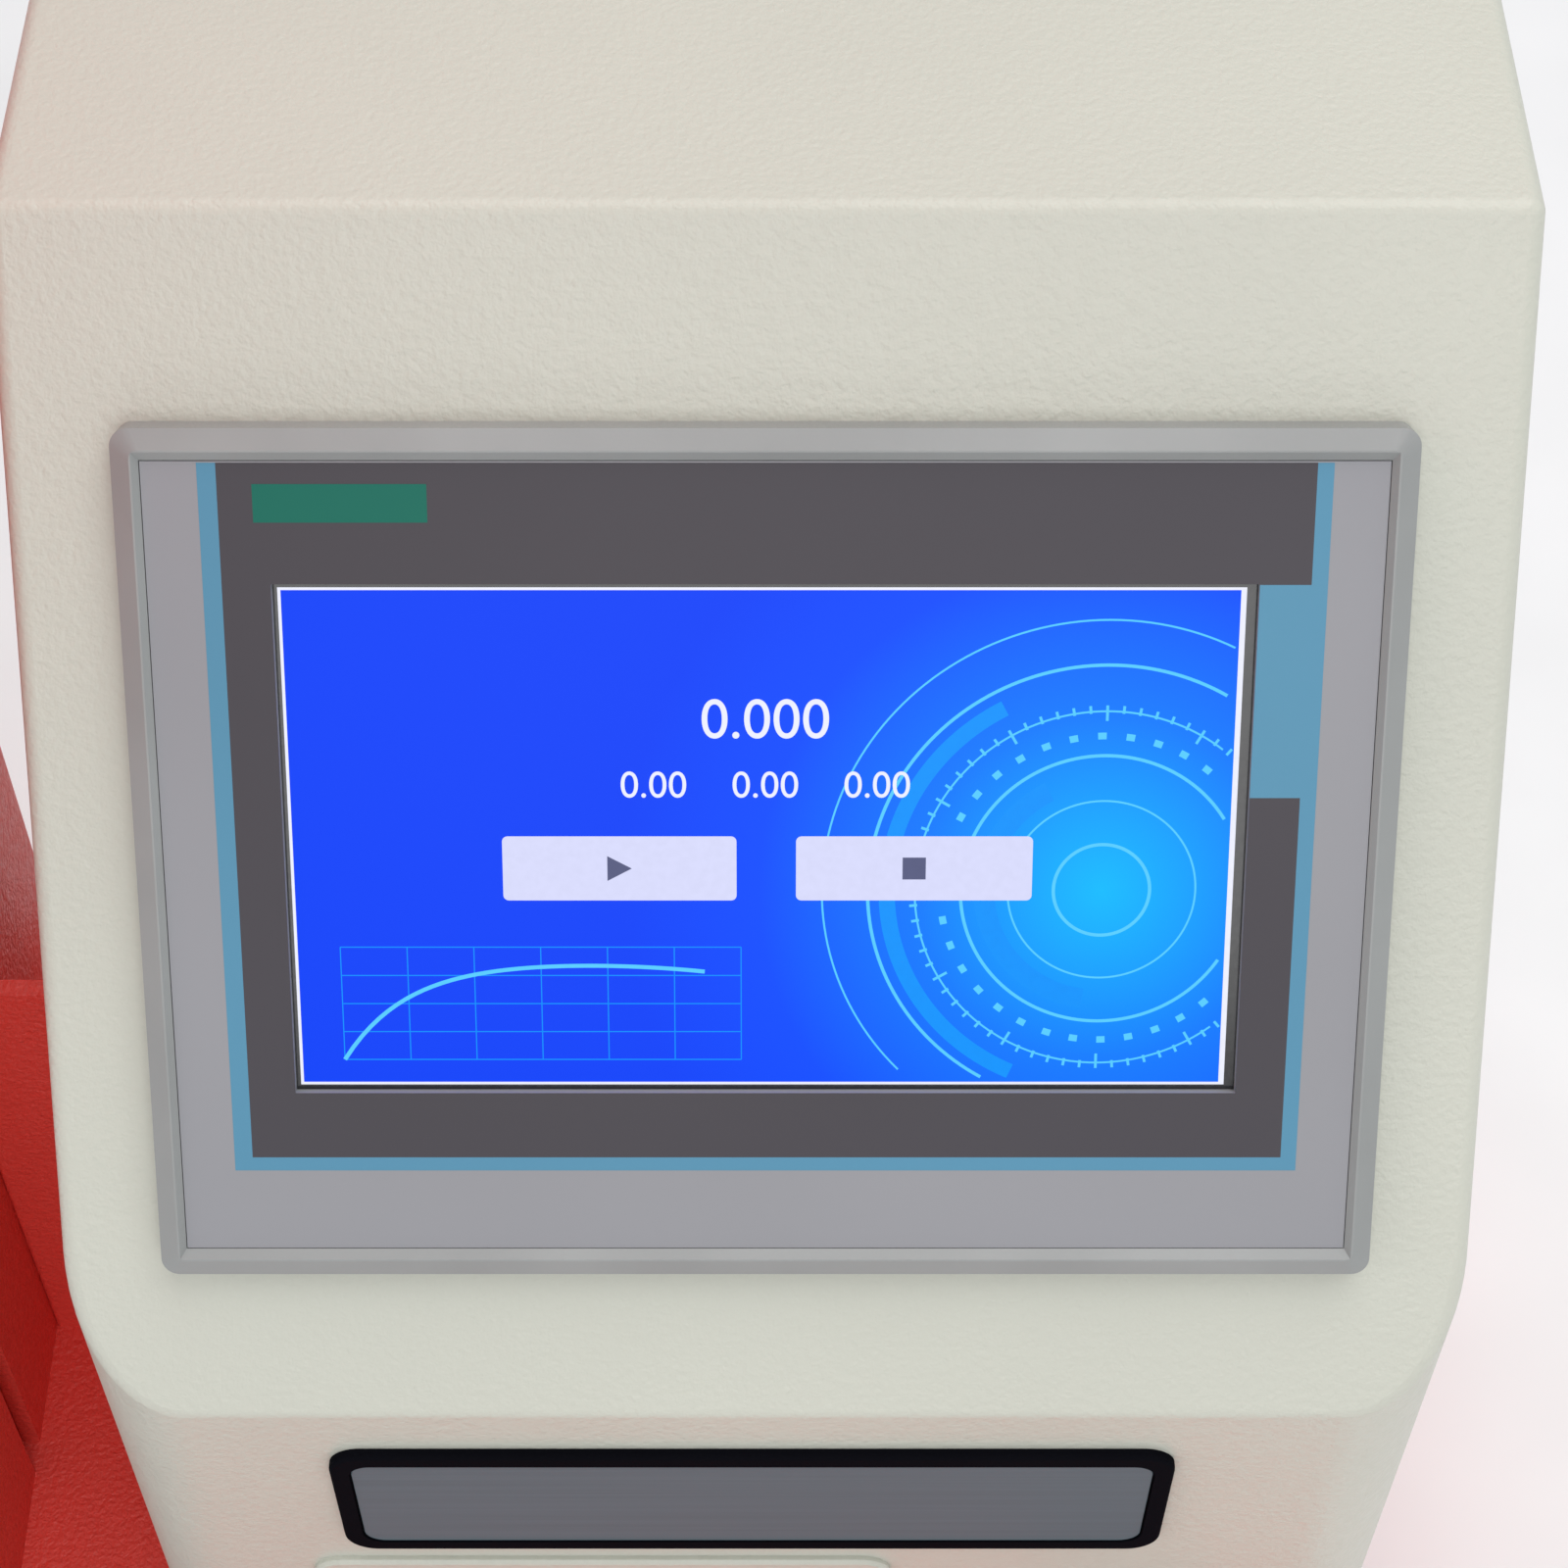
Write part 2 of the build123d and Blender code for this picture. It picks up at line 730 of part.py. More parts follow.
# Crosshead: a yoke that runs on the rails and reaches out through the front
# slots, and a cast arm bolted across its two ends
with BuildPart() as crosshead_yoke:
    with BuildSketch(Plane.XY.offset(carriage_z - carriage_height / 2)):
        with Locations((column_x, block_front_y - carriage_thickness / 2)):
            Rectangle(carriage_width, carriage_thickness)
    extrude(amount=carriage_height)
    yoke_arm_length = carriage_front_y - arm_back_y
    with BuildSketch(Plane.XY.offset(carriage_z - yoke_arm_height / 2)):
        for side in (-1, 1):
            with Locations((column_x + side * slot_offset, (carriage_front_y + arm_back_y) / 2)):
                Rectangle(yoke_arm_thickness, yoke_arm_length)
    extrude(amount=yoke_arm_height)
    root_edges = crosshead_yoke.edges().filter_by(Axis.Z).group_by(Axis.Y)[1]
    inner_reach = carriage_width / 2 - plate_gap
    fillet(root_edges.filter_by(lambda edge: abs(edge.center().X - column_x) < inner_reach), yoke_bend_radius)
keep(crosshead_yoke, "crosshead_yoke")

with BuildPart() as rail_blocks:
    for side in (-1, 1):
        for level in (-1, 1):
            block_bottom_z = carriage_z + level * (carriage_height - block_length) / 2 - block_length / 2
            with BuildSketch(Plane.XY.offset(block_bottom_z)):
                with Locations((column_x + side * rail_spacing / 2, block_front_y + block_height / 2)):
                    Rectangle(block_width, block_height)
                channel_depth = rail_height - block_standoff + block_clearance
                channel_y = block_front_y + block_height - channel_depth / 2
                with Locations((column_x + side * rail_spacing / 2, channel_y)):
                    Rectangle(rail_width + 2 * block_clearance, channel_depth, mode=Mode.SUBTRACT)
            extrude(amount=block_length)
keep(rail_blocks, "rail_blocks")

nut_block_depth = 2 * (carriage_front_y - screw_y)
with BuildPart() as ball_nut:
    with BuildSketch(Plane.XY.offset(carriage_z - nut_block_height / 2)):
        with Locations((column_x, screw_y)):
            RectangleRounded(nut_block_width, nut_block_depth, nut_corner_radius)
    extrude(amount=nut_block_height)
    with BuildSketch(Plane.XY.offset(carriage_z + nut_block_height / 2)):
        with Locations((column_x, screw_y)):
            Circle(nut_block_width / 2 - nut_collar_inset)
    extrude(amount=nut_collar_height)
    with BuildSketch(Plane.XY.offset(carriage_z - nut_block_height / 2)):
        with Locations((column_x, screw_y)):
            Circle(screw_radius + running_clearance)
    extrude(amount=nut_block_height + nut_collar_height, mode=Mode.SUBTRACT)
keep(ball_nut, "ball_nut")

arm_length = arm_back_y - load_y
with BuildPart() as crosshead_arm:
    with BuildSketch(Plane.YZ.offset(column_x - arm_back_width / 2)):
        with BuildLine():
            Polyline(
                (arm_back_y, arm_z - arm_drop),
                (arm_back_y - arm_root, arm_z - arm_drop),
                (arm_back_y - arm_length / 2, arm_z),
                (load_y - arm_nose_radius, arm_z),
                (load_y - arm_nose_radius, arm_z + arm_nose_height),
                (arm_back_y - arm_length / 2, arm_z + arm_nose_height),
                (arm_back_y - arm_root, arm_z - arm_drop + arm_back_height),
                (arm_back_y, arm_z - arm_drop + arm_back_height),
                close=True,
            )
        make_face()
    extrude(amount=arm_back_width)
    with BuildSketch(Plane.XY.offset(arm_z - arm_drop)):
        with Locations((column_x, arm_back_y - arm_root / 2)):
            Rectangle(arm_back_width, arm_root)
        with Locations((column_x, load_y)):
            Circle(arm_nose_radius)
        make_hull()
    extrude(amount=arm_back_height, mode=Mode.INTERSECT)
    nose_rim = crosshead_arm.edges().filter_by(GeomType.CIRCLE).group_by(Axis.Z)[-1]
    fillet(nose_rim, arm_edge_radius)
    with BuildSketch(Plane.XY.offset(arm_z - nose_boss_height)):
        with Locations((column_x, load_y)):
            Circle(nose_boss_radius)
    extrude(amount=nose_boss_height)
    with BuildSketch(Plane.XY.offset(arm_z - nose_boss_height)):
        with Locations((column_x, load_y)):
            Circle(cell_bolt_radius + seat_clearance)
    extrude(amount=nose_boss_height + arm_nose_height, mode=Mode.SUBTRACT)
keep(crosshead_arm, "crosshead_arm")

# Load cell: an S-shaped block, cut in from opposite sides, with a window
cell_centre_z = (cell_top_z + cell_bottom_z) / 2
with BuildPart() as load_cell:
    with BuildSketch(Plane.XZ.offset(-load_y - cell_depth / 2)):
        with Locations((column_x, cell_centre_z)):
            RectangleRounded(cell_width, cell_height, cell_corner_radius)
        for side in (-1, 1):
            slot_z = cell_centre_z + side * (cell_height / 2 - cell_slot_inset)
            slot_x = column_x + side * cell_web / 2
            with Locations((slot_x, slot_z)):
                Rectangle(cell_width - cell_web, cell_slot, mode=Mode.SUBTRACT)
            with Locations((column_x - side * (cell_width / 2 - cell_web), slot_z)):
                Circle(cell_slot, mode=Mode.SUBTRACT)
        with Locations((column_x, cell_centre_z)):
            SlotOverall(cell_width - 2 * cell_web, cell_window, mode=Mode.SUBTRACT)
    extrude(amount=cell_depth)
    bolt_hole_depth = cell_slot_inset - cell_slot
    for end_z in (cell_top_z - bolt_hole_depth, cell_bottom_z):
        with BuildSketch(Plane.XY.offset(end_z)):
            with Locations((column_x, load_y)):
                Circle(cell_bolt_radius + seat_clearance)
        extrude(amount=bolt_hole_depth, mode=Mode.SUBTRACT)
keep(load_cell, "load_cell")

with BuildPart() as load_cell_bolt:
    with BuildSketch(Plane.XY.offset(cell_top_z - bolt_hole_depth + end_gap)):
        with Locations((column_x, load_y)):
            Circle(cell_bolt_radius)
    extrude(amount=bolt_hole_depth - end_gap + nose_boss_height + arm_nose_height)
    with BuildSketch(Plane.XY.offset(arm_z + arm_nose_height)):
        with Locations((column_x, load_y)):
            Circle(washer_radius)
    extrude(amount=washer_thickness)
    with BuildSketch(Plane.XY.offset(arm_z + arm_nose_height + washer_thickness)):
        with Locations((column_x, load_y)):
            RegularPolygon(bolt_head_radius, 6)
    extrude(amount=bolt_head_height)
keep(load_cell_bolt, "load_cell_bolt")

with BuildPart() as upper_adapter:
    with BuildSketch(Plane.XY.offset(cell_bottom_z - adapter_height)):
        with Locations((column_x, load_y)):
            Circle(adapter_radius)
    extrude(amount=adapter_height)
    chamfer(upper_adapter.faces().sort_by(Axis.Z)[-1].edges(), adapter_edge)
    with BuildSketch(Plane.XY.offset(cell_bottom_z)):
        with Locations((column_x, load_y)):
            Circle(cell_bolt_radius)
    extrude(amount=bolt_hole_depth - end_gap)
    with BuildSketch(Plane.XY.offset(cell_bottom_z - adapter_height)):
        with Locations((column_x, load_y)):
            Circle(shank_radius + running_clearance)
    extrude(amount=shank_length + end_gap, mode=Mode.SUBTRACT)
    with BuildSketch(Plane.XZ.offset(-load_y - adapter_radius)):
        with Locations((column_x, cell_bottom_z - adapter_height + shank_length / 2)):
            Circle(pin_radius + running_clearance)
    extrude(amount=2 * adapter_radius, mode=Mode.SUBTRACT)
keep(upper_adapter, "upper_adapter")

# Table plate and lower adapter on the deck, under the load axis
with BuildPart() as table_plate:
    with BuildSketch(Plane.XY.offset(deck_z)):
        with Locations((column_x, load_y)):
            RectangleRounded(table_width, table_depth, table_corner_radius)
            with GridLocations(table_hole_spacing_x, table_hole_spacing_y, 2, 2):
                Circle(table_hole_radius, mode=Mode.SUBTRACT)
    extrude(amount=table_thickness)
    top_rim = table_plate.faces().sort_by(Axis.Z)[-1].outer_wire().edges()
    chamfer(top_rim, table_edge)
keep(table_plate, "table_plate")

lower_adapter_top_z = table_top_z + lower_adapter_height
with BuildPart() as lower_adapter:
    with BuildSketch(Plane.XY.offset(table_top_z)):
        with Locations((column_x, load_y)):
            Circle(adapter_flange_radius)
    extrude(amount=adapter_flange_height)
    with BuildSketch(Plane.XY.offset(table_top_z)):
        with Locations((column_x, load_y)):
            Circle(adapter_radius)
    extrude(amount=lower_adapter_height)
    with BuildSketch(Plane.XY.offset(lower_adapter_top_z - shank_length - end_gap)):
        with Locations((column_x, load_y)):
            Circle(shank_radius + running_clearance)
    extrude(amount=shank_length + end_gap, mode=Mode.SUBTRACT)
    with BuildSketch(Plane.XZ.offset(-load_y - adapter_radius)):
        with Locations((column_x, lower_adapter_top_z - shank_length / 2)):
            Circle(pin_radius + running_clearance)
    extrude(amount=2 * adapter_radius, mode=Mode.SUBTRACT)
keep(lower_adapter, "lower_adapter")


def grip(prefix, seat_z, way):
    """A screw vice grip. It seats at seat_z and opens towards way, 1 for up and -1 for down."""
    seat = Plane(origin=(column_x, load_y, seat_z), x_dir=(1, 0, 0), z_dir=(0, -1, 0))
    mouth = grip_height - grip_mouth_depth
    cheek = (grip_width - grip_mouth_width) / 2
    screw_height = grip_height - jaw_length / 2
    half = grip_width / 2

    with BuildPart() as body:
        with BuildSketch(seat.offset(-grip_depth / 2)):
            with BuildLine():
                Polyline(
                    (-half + grip_shoulder, 0),
                    (half - grip_shoulder, 0),
                    (half, way * grip_shoulder),
                    (half, way * grip_height),
                    (grip_mouth_width / 2, way * grip_height),
                    (grip_mouth_width / 2, way * mouth),
                    (-grip_mouth_width / 2, way * mouth),
                    (-grip_mouth_width / 2, way * grip_height),
                    (-half, way * grip_height),
                    (-half, way * grip_shoulder),
                    close=True,
                )
            make_face()
        extrude(amount=grip_depth)
        chamfer(body.edges().filter_by(Axis.Y).group_by(Axis.Z)[0 if way < 0 else -1], grip_edge)
        shank_plane = Plane(origin=(column_x, load_y, seat_z), z_dir=(0, 0, -way))
        with BuildSketch(shank_plane):
            Circle(shank_radius)
        extrude(amount=shank_length)
        with BuildSketch(seat.offset(-shank_radius)):
            with Locations((0, -way * shank_length / 2)):
                Circle(pin_radius + running_clearance)
        extrude(amount=2 * shank_radius, mode=Mode.SUBTRACT)
        cheek_plane = Plane(origin=(column_x, load_y, seat_z), x_dir=(0, 1, 0), z_dir=(1, 0, 0))
        with BuildSketch(cheek_plane.offset(-half)):
            with Locations((0, way * screw_height)):
                Circle(clamp_screw_radius + running_clearance)
        extrude(amount=cheek, mode=Mode.SUBTRACT)
    keep(body, prefix + "_grip_body")

    # Jaws with cross teeth, the moving one on the screw's side
    tooth_pitch = jaw_length / jaw_teeth
    fixed_face = grip_mouth_width / 2 - fixed_jaw_thickness
    moving_face = fixed_face - jaw_opening

    def jaw(label, face_x, back_x):
        side = 1 if back_x > face_x else -1
        points = [(back_x, way * (grip_height - jaw_length)), (back_x, way * grip_height)]
        for tooth in range(jaw_teeth, 0, -1):
            level = grip_height - jaw_length + tooth * tooth_pitch
            points.append((face_x + side * jaw_tooth_depth, way * level))
            points.append((face_x, way * (level - tooth_pitch / 2)))
        points.append((face_x + side * jaw_tooth_depth, way * (grip_height - jaw_length)))
        with BuildPart() as plate:
            with BuildSketch(seat.offset(-jaw_width / 2)):
                with BuildLine():
                    Polyline(*points, close=True)
                make_face()
            extrude(amount=jaw_width)
        keep(plate, label)

    jaw(prefix + "_fixed_jaw", fixed_face, grip_mouth_width / 2)
    jaw(prefix + "_moving_jaw", moving_face, moving_face - moving_jaw_thickness)

    # Clamp screw, pushing on the moving jaw's back, and its lobed knob
    screw_end_x = moving_face - moving_jaw_thickness
    knob_x = -half - clamp_screw_reach
    across = Plane(origin=(column_x, load_y, seat_z + way * screw_height), x_dir=(0, 1, 0), z_dir=(1, 0, 0))
    with BuildPart() as clamp_screw:
        with BuildSketch(across.offset(knob_x - knob_thickness / 2)):
            Circle(clamp_screw_radius)
        extrude(amount=screw_end_x - knob_x + knob_thickness / 2)
    keep(clamp_screw, prefix + "_clamp_screw")

    with BuildPart() as knob:
        with BuildSketch(across.offset(knob_x - knob_thickness)):
            Circle(knob_radius)
            with PolarLocations(knob_radius + knob_scallop_radius / 2, knob_lobes):
                Circle(knob_scallop_radius, mode=Mode.SUBTRACT)
        extrude(amount=knob_thickness)
        with BuildSketch(across.offset(knob_x)):
            Circle(knob_radius / 2)
        extrude(amount=knob_collar)
        with BuildSketch(across.offset(knob_x - knob_thickness / 2)):
            Circle(clamp_screw_radius + seat_clearance)
        extrude(amount=knob_thickness / 2 + knob_collar, mode=Mode.SUBTRACT)
        outer_rim = knob.faces().sort_by(Axis.X)[0].edges()
        chamfer(outer_rim, knob_chamfer)
    keep(knob, prefix + "_knob")

    with BuildPart() as pin:
        with BuildSketch(seat.offset(-adapter_radius - pin_end_reach)):
            with Locations((0, -way * shank_length / 2)):
                Circle(pin_radius)
        extrude(amount=2 * (adapter_radius + pin_end_reach))
        with BuildSketch(seat.offset(adapter_radius + pin_end_reach / 2)):
            with Locations((0, -way * shank_length / 2)):
                Circle(2 * pin_radius)
        extrude(amount=pin_head_height)
    keep(pin, prefix + "_grip_pin")


upper_seat_z = cell_bottom_z - adapter_height
grip("lower", lower_adapter_top_z, 1)
grip("upper", upper_seat_z, -1)

# Tie plate: a bent channel that joins the column's side to the console's side
tie_front_y = console_front_y + tie_plate_setback
with BuildPart() as tie_plate:
    with BuildSketch(Plane.XY.offset(deck_z)):
        with Locations(((column_right_x + console_left_x) / 2, tie_front_y + tie_plate_flange / 2)):
            Rectangle(alcove_gap, tie_plate_flange)
        with Locations(
            ((column_right_x + console_left_x) / 2, tie_front_y + tie_plate_thickness + tie_plate_flange / 2)
        ):
            Rectangle(alcove_gap - 2 * tie_plate_thickness, tie_plate_flange, mode=Mode.SUBTRACT)
    extrude(amount=tie_plate_height)
    fillet(tie_plate.faces().sort_by(Axis.Y)[0].edges().filter_by(Axis.Z), tie_plate_bend)
keep(tie_plate, "tie_plate")

# Limit rod, its two brackets on the column, two stop collars and the
# crosshead's trip finger
rod_bottom_z = deck_z + limit_rod_bottom
rod_top_z = column_top_z - limit_rod_top_drop
with BuildPart() as limit_rod:
    with BuildSketch(Plane.XY.offset(rod_bottom_z)):
        with Locations((limit_rod_x, limit_rod_y)):
            Circle(limit_rod_radius)
    extrude(amount=rod_top_z - rod_bottom_z)

bracket_reach = limit_rod_gap + limit_rod_radius + bracket_margin
with BuildPart() as limit_rod_brackets:
    for level in (rod_bottom_z, rod_top_z - bracket_height):
        with BuildSketch(Plane.XY.offset(level)):
            with Locations((column_left_x - bracket_reach / 2, limit_rod_y)):
                Rectangle(bracket_reach, bracket_width)
            with Locations((limit_rod_x, limit_rod_y)):
                Circle(limit_rod_radius + seat_clearance, mode=Mode.SUBTRACT)
        extrude(amount=bracket_height)
keep_group("limit_rod", limit_rod, limit_rod_brackets)

finger_z = arm_z + arm_nose_height / 2 - finger_thickness / 2
finger_reach_y = limit_rod_y + finger_width / 2
arm_left_x = column_x - arm_back_width / 2
with BuildPart() as trip_finger:
    with BuildSketch(Plane.XY.offset(finger_z)):
        with BuildLine():
            Polyline(
                (arm_left_x + finger_inset, arm_back_y),
                (arm_left_x + finger_inset, arm_back_y + finger_foot),
                (column_left_x - finger_side_gap, arm_back_y + finger_foot),
                (column_left_x - finger_side_gap, finger_reach_y),
                (limit_rod_x - finger_width / 2, finger_reach_y),
                (limit_rod_x - finger_width / 2, arm_back_y - finger_foot),
                (arm_left_x - finger_foot, arm_back_y - finger_foot),
                (arm_left_x, arm_back_y),
                close=True,
            )
        make_face()
        with Locations((limit_rod_x, limit_rod_y)):
            Circle(limit_rod_radius + finger_rod_gap, mode=Mode.SUBTRACT)
    extrude(amount=finger_thickness)
keep(trip_finger, "trip_finger")


def stop_collar(label, bottom_z):
    """A collar on the limit rod and the thumb screw that clamps it, as two solids."""
    thumb = Plane(
        origin=(limit_rod_x, limit_rod_y, bottom_z + collar_height / 2), x_dir=(1, 0, 0), z_dir=(0, -1, 0)
    )
    with BuildPart() as collar:
        with BuildSketch(Plane.XY.offset(bottom_z)):
            with Locations((limit_rod_x, limit_rod_y)):
                Circle(collar_radius)
                Circle(limit_rod_radius + running_clearance, mode=Mode.SUBTRACT)
        extrude(amount=collar_height)
        with BuildSketch(thumb):
            Circle(thumb_screw_radius)
        extrude(amount=collar_radius, mode=Mode.SUBTRACT)
    with BuildPart() as thumb_screw:
        with BuildSketch(thumb.offset(limit_rod_radius + running_clearance)):
            Circle(thumb_screw_radius - seat_clearance)
        extrude(amount=collar_radius - limit_rod_radius)
        with BuildSketch(thumb.offset(collar_radius)):
            Circle(thumb_head_radius)
        extrude(amount=thumb_head_length)
    keep_group(label, collar, thumb_screw)


stop_collar("lower_stop_collar", finger_z - travel_down - finger_stop_gap - collar_height)
stop_collar("upper_stop_collar", finger_z + finger_thickness + travel_up + finger_stop_gap)

# Console shell: a bent and welded housing, open at the back and underneath
# inside a narrow flange
shell_corners = (
    (shell_rear_y, deck_z),
    (console_front_y, deck_z),
    (console_front_y, console_top_z - panel_drop),
    (upper_bend_y, console_top_z),
    (shell_rear_y, console_top_z),
)
with BuildPart() as console_room:
    with BuildSketch(Plane.YZ.offset(console_left_x + console_wall)):
        with BuildLine():
            Polyline(*shell_corners, close=True)
        make_face()
        offset(amount=-console_wall, kind=Kind.INTERSECTION)
    extrude(amount=console_width - 2 * console_wall)
    room_corners = console_room.edges().filter_by(Axis.Z).group_by(Axis.Y)[0]
    fillet(room_corners, console_corner_radius - console_wall)

with BuildPart() as console_shell:
    with BuildSketch(Plane.YZ.offset(console_left_x)):
        with BuildLine():
            Polyline(*shell_corners, close=True)
        make_face()
    extrude(amount=console_width)
    fillet(console_shell.edges().filter_by(Axis.Z).group_by(Axis.Y)[0], console_corner_radius)
    top_face = console_shell.faces().sort_by(Axis.Z)[-1]
    lean_face = console_shell.faces().sort_by_distance(hmi_plane.origin)[0]
    bends = ShapeList(top_face.edges() + lean_face.edges())
    fillet(bends.filter_by(lambda edge: edge.center().Y < shell_rear_y - plate_gap), console_edge_radius)
    add(console_room.part, mode=Mode.SUBTRACT)
    opening_front_y = console_front_y + console_flange
    opening_rear_y = shell_rear_y - console_flange
    with BuildSketch(Plane.XY.offset(deck_z)):
        with Locations((console_x, (opening_front_y + opening_rear_y) / 2)):
            RectangleRounded(
                console_width - 2 * console_flange,
                opening_rear_y - opening_front_y,
                console_corner_radius - console_flange,
            )
    extrude(amount=console_wall, mode=Mode.SUBTRACT)
    with BuildSketch(Plane.XZ.offset(-shell_rear_y)):
        with Locations((console_x, deck_z + console_height / 2)):
            RectangleRounded(
                console_width - 2 * console_flange, console_height - 2 * console_flange, rear_opening_radius
            )
    extrude(amount=console_wall, mode=Mode.SUBTRACT)
    with BuildSketch(hmi_plane):
        Rectangle(cutout_width, cutout_height)
    extrude(amount=-2 * console_wall, mode=Mode.SUBTRACT)
    with BuildSketch(front_plane):
        with Locations((pad_x, -pad_top_drop - pad_height / 2)):
            RectangleRounded(pad_width, pad_height, pad_corner_radius)
    extrude(amount=pad_thickness)
    pad_rim = console_shell.faces().sort_by(Axis.Y)[0].edges()
    chamfer(pad_rim, pad_edge)
    with BuildSketch(front_plane.offset(pad_thickness)):
        with Locations((pad_x, -control_drop)):
            with GridLocations(key_spacing, key_spacing, 3, 1):
                Circle(key_radius + key_clearance)
        with Locations((estop_x, -control_drop)):
            Circle(estop_stem_radius + key_clearance)
    extrude(amount=-pad_thickness - 2 * console_wall, mode=Mode.SUBTRACT)
keep(console_shell, "console_shell")

# Rear panel with its fan opening, inlet cut-out, sockets, vents and standoffs
with BuildPart() as console_rear_panel:
    with BuildSketch(rear_plane):
        with Locations((0, console_height / 2)):
            RectangleRounded(console_width, console_height, rear_panel_corner_radius)
        with Locations((fan_x, fan_z)):
            Circle(fan_radius, mode=Mode.SUBTRACT)
        with Locations((inlet_x, inlet_z)):
            Rectangle(inlet_width + plate_gap, inlet_height + plate_gap, mode=Mode.SUBTRACT)
        with Locations((socket_x, socket_z)):
            with GridLocations(socket_spacing, socket_spacing, 2, 1):
                Circle(socket_radius + plate_gap, mode=Mode.SUBTRACT)
        with Locations((vent_x, vent_z)):
            with GridLocations(vent_pitch, vent_pitch, 1, vent_count):
                SlotOverall(vent_length, vent_width, mode=Mode.SUBTRACT)
    extrude(amount=-rear_panel_thickness)
    with BuildSketch(rear_plane.offset(-rear_panel_thickness)):
        with Locations((board_x, board_z)):
            with GridLocations(board_width - 2 * board_hole_inset, board_height - 2 * board_hole_inset, 2, 2):
                Circle(standoff_radius)
    extrude(amount=-standoff_length)
keep(console_rear_panel, "console_rear_panel")

with BuildPart() as control_board:
    with BuildSketch(rear_plane.offset(-rear_panel_thickness - standoff_length)):
        with Locations((board_x, board_z)):
            Rectangle(board_width, board_height)
    extrude(amount=-board_thickness)
    with BuildSketch(rear_plane.offset(-rear_panel_thickness - standoff_length - board_thickness)):
        with Locations((board_x - board_width / 5, board_z + board_height / 8)):
            Rectangle(chip_size, chip_size)
        with Locations((board_x + board_width / 4, board_z + board_height / 8)):
            Rectangle(relay_width, relay_length)
        with Locations((board_x, board_z - header_drop)):
            Rectangle(header_length_share * board_width, header_width)
    extrude(amount=-board_part_height)
keep(control_board, "control_board")

with BuildPart() as fan_frame:
    with BuildSketch(rear_plane.offset(-rear_panel_thickness)):
        with Locations((fan_x, fan_z)):
            RectangleRounded(fan_size, fan_size, fan_corner_radius)
            Circle(fan_radius, mode=Mode.SUBTRACT)
    extrude(amount=-fan_depth)
    with BuildSketch(rear_plane.offset(-rear_panel_thickness - fan_depth)):
        with Locations((fan_x, fan_z)):
            Circle(fan_hub_radius)
            Rectangle(2 * fan_radius + fan_tip_gap, fan_spoke_width)
            Rectangle(fan_spoke_width, 2 * fan_radius + fan_tip_gap)
    extrude(amount=fan_spoke_thickness)
keep(fan_frame, "fan_frame")

fan_hub_start = fan_spoke_thickness + fan_rotor_gap - rear_panel_thickness - fan_depth
with BuildPart() as fan_rotor:
    with BuildSketch(rear_plane.offset(fan_hub_start)):
        with Locations((fan_x, fan_z)):
            Circle(fan_hub_radius)
    extrude(amount=fan_hub_length)
    with BuildSketch(rear_plane.offset(fan_hub_start + fan_blade_setback)):
        with Locations((fan_x, fan_z)):
            blade_length = fan_radius - fan_tip_gap - fan_hub_radius + fan_blade_root
            with PolarLocations(fan_hub_radius + blade_length / 2 - fan_blade_root, fan_blades):
                Trapezoid(blade_length, fan_blade_width, fan_blade_angle)
    extrude(amount=fan_blade_thickness)
keep(fan_rotor, "fan_rotor")

socket_centre_x = inlet_x + (inlet_width - plug_width) / 2 - inlet_rim
rocker_x = inlet_x - (inlet_width - rocker_width) / 2 + inlet_rim
pivot_overhang = rocker_gap + rocker_pivot_reach
rocker_side = Plane(
    origin=rear_plane.from_local_coords((rocker_x - rocker_width / 2, inlet_z, inlet_flange_thickness)),
    x_dir=(0, 0, 1),
    z_dir=(-1, 0, 0),
)
with BuildPart() as mains_inlet:
    with BuildSketch(rear_plane):
        with Locations((inlet_x, inlet_z)):
            RectangleRounded(
                inlet_width + 2 * inlet_flange, inlet_height + 2 * inlet_flange, inlet_corner_radius
            )
    extrude(amount=inlet_flange_thickness)
    with BuildSketch(rear_plane):
        with Locations((inlet_x, inlet_z)):
            Rectangle(inlet_width, inlet_height)
    extrude(amount=-inlet_depth)
    with BuildSketch(rear_plane.offset(inlet_flange_thickness)):
        with Locations((socket_centre_x, inlet_z)):
            RectangleRounded(plug_width, plug_height, plug_corner_radius)
    extrude(amount=-plug_depth, mode=Mode.SUBTRACT)
    with BuildSketch(rear_plane.offset(inlet_flange_thickness)):
        with Locations((rocker_x, inlet_z)):
            Rectangle(rocker_width + 2 * rocker_gap, rocker_height + 2 * rocker_gap)
    extrude(amount=-rocker_pocket_depth, mode=Mode.SUBTRACT)
    with BuildSketch(rear_plane.offset(inlet_flange_thickness - plug_depth)):
        with Locations((socket_centre_x, inlet_z)):
            with Locations(
                (0, plug_pin_offset),
                (-plug_pin_spacing, -plug_pin_offset),
                (plug_pin_spacing, -plug_pin_offset),
            ):
                Rectangle(plug_pin_width, plug_pin_height)
    extrude(amount=plug_depth - plug_pin_setback)
    with BuildSketch(rocker_side.offset(-pivot_overhang)):
        with Locations((0, -rocker_pivot_depth)):
            Circle(rocker_pivot_radius + running_clearance)
    extrude(amount=rocker_width + 2 * pivot_overhang, mode=Mode.SUBTRACT)
keep(mains_inlet, "mains_inlet")

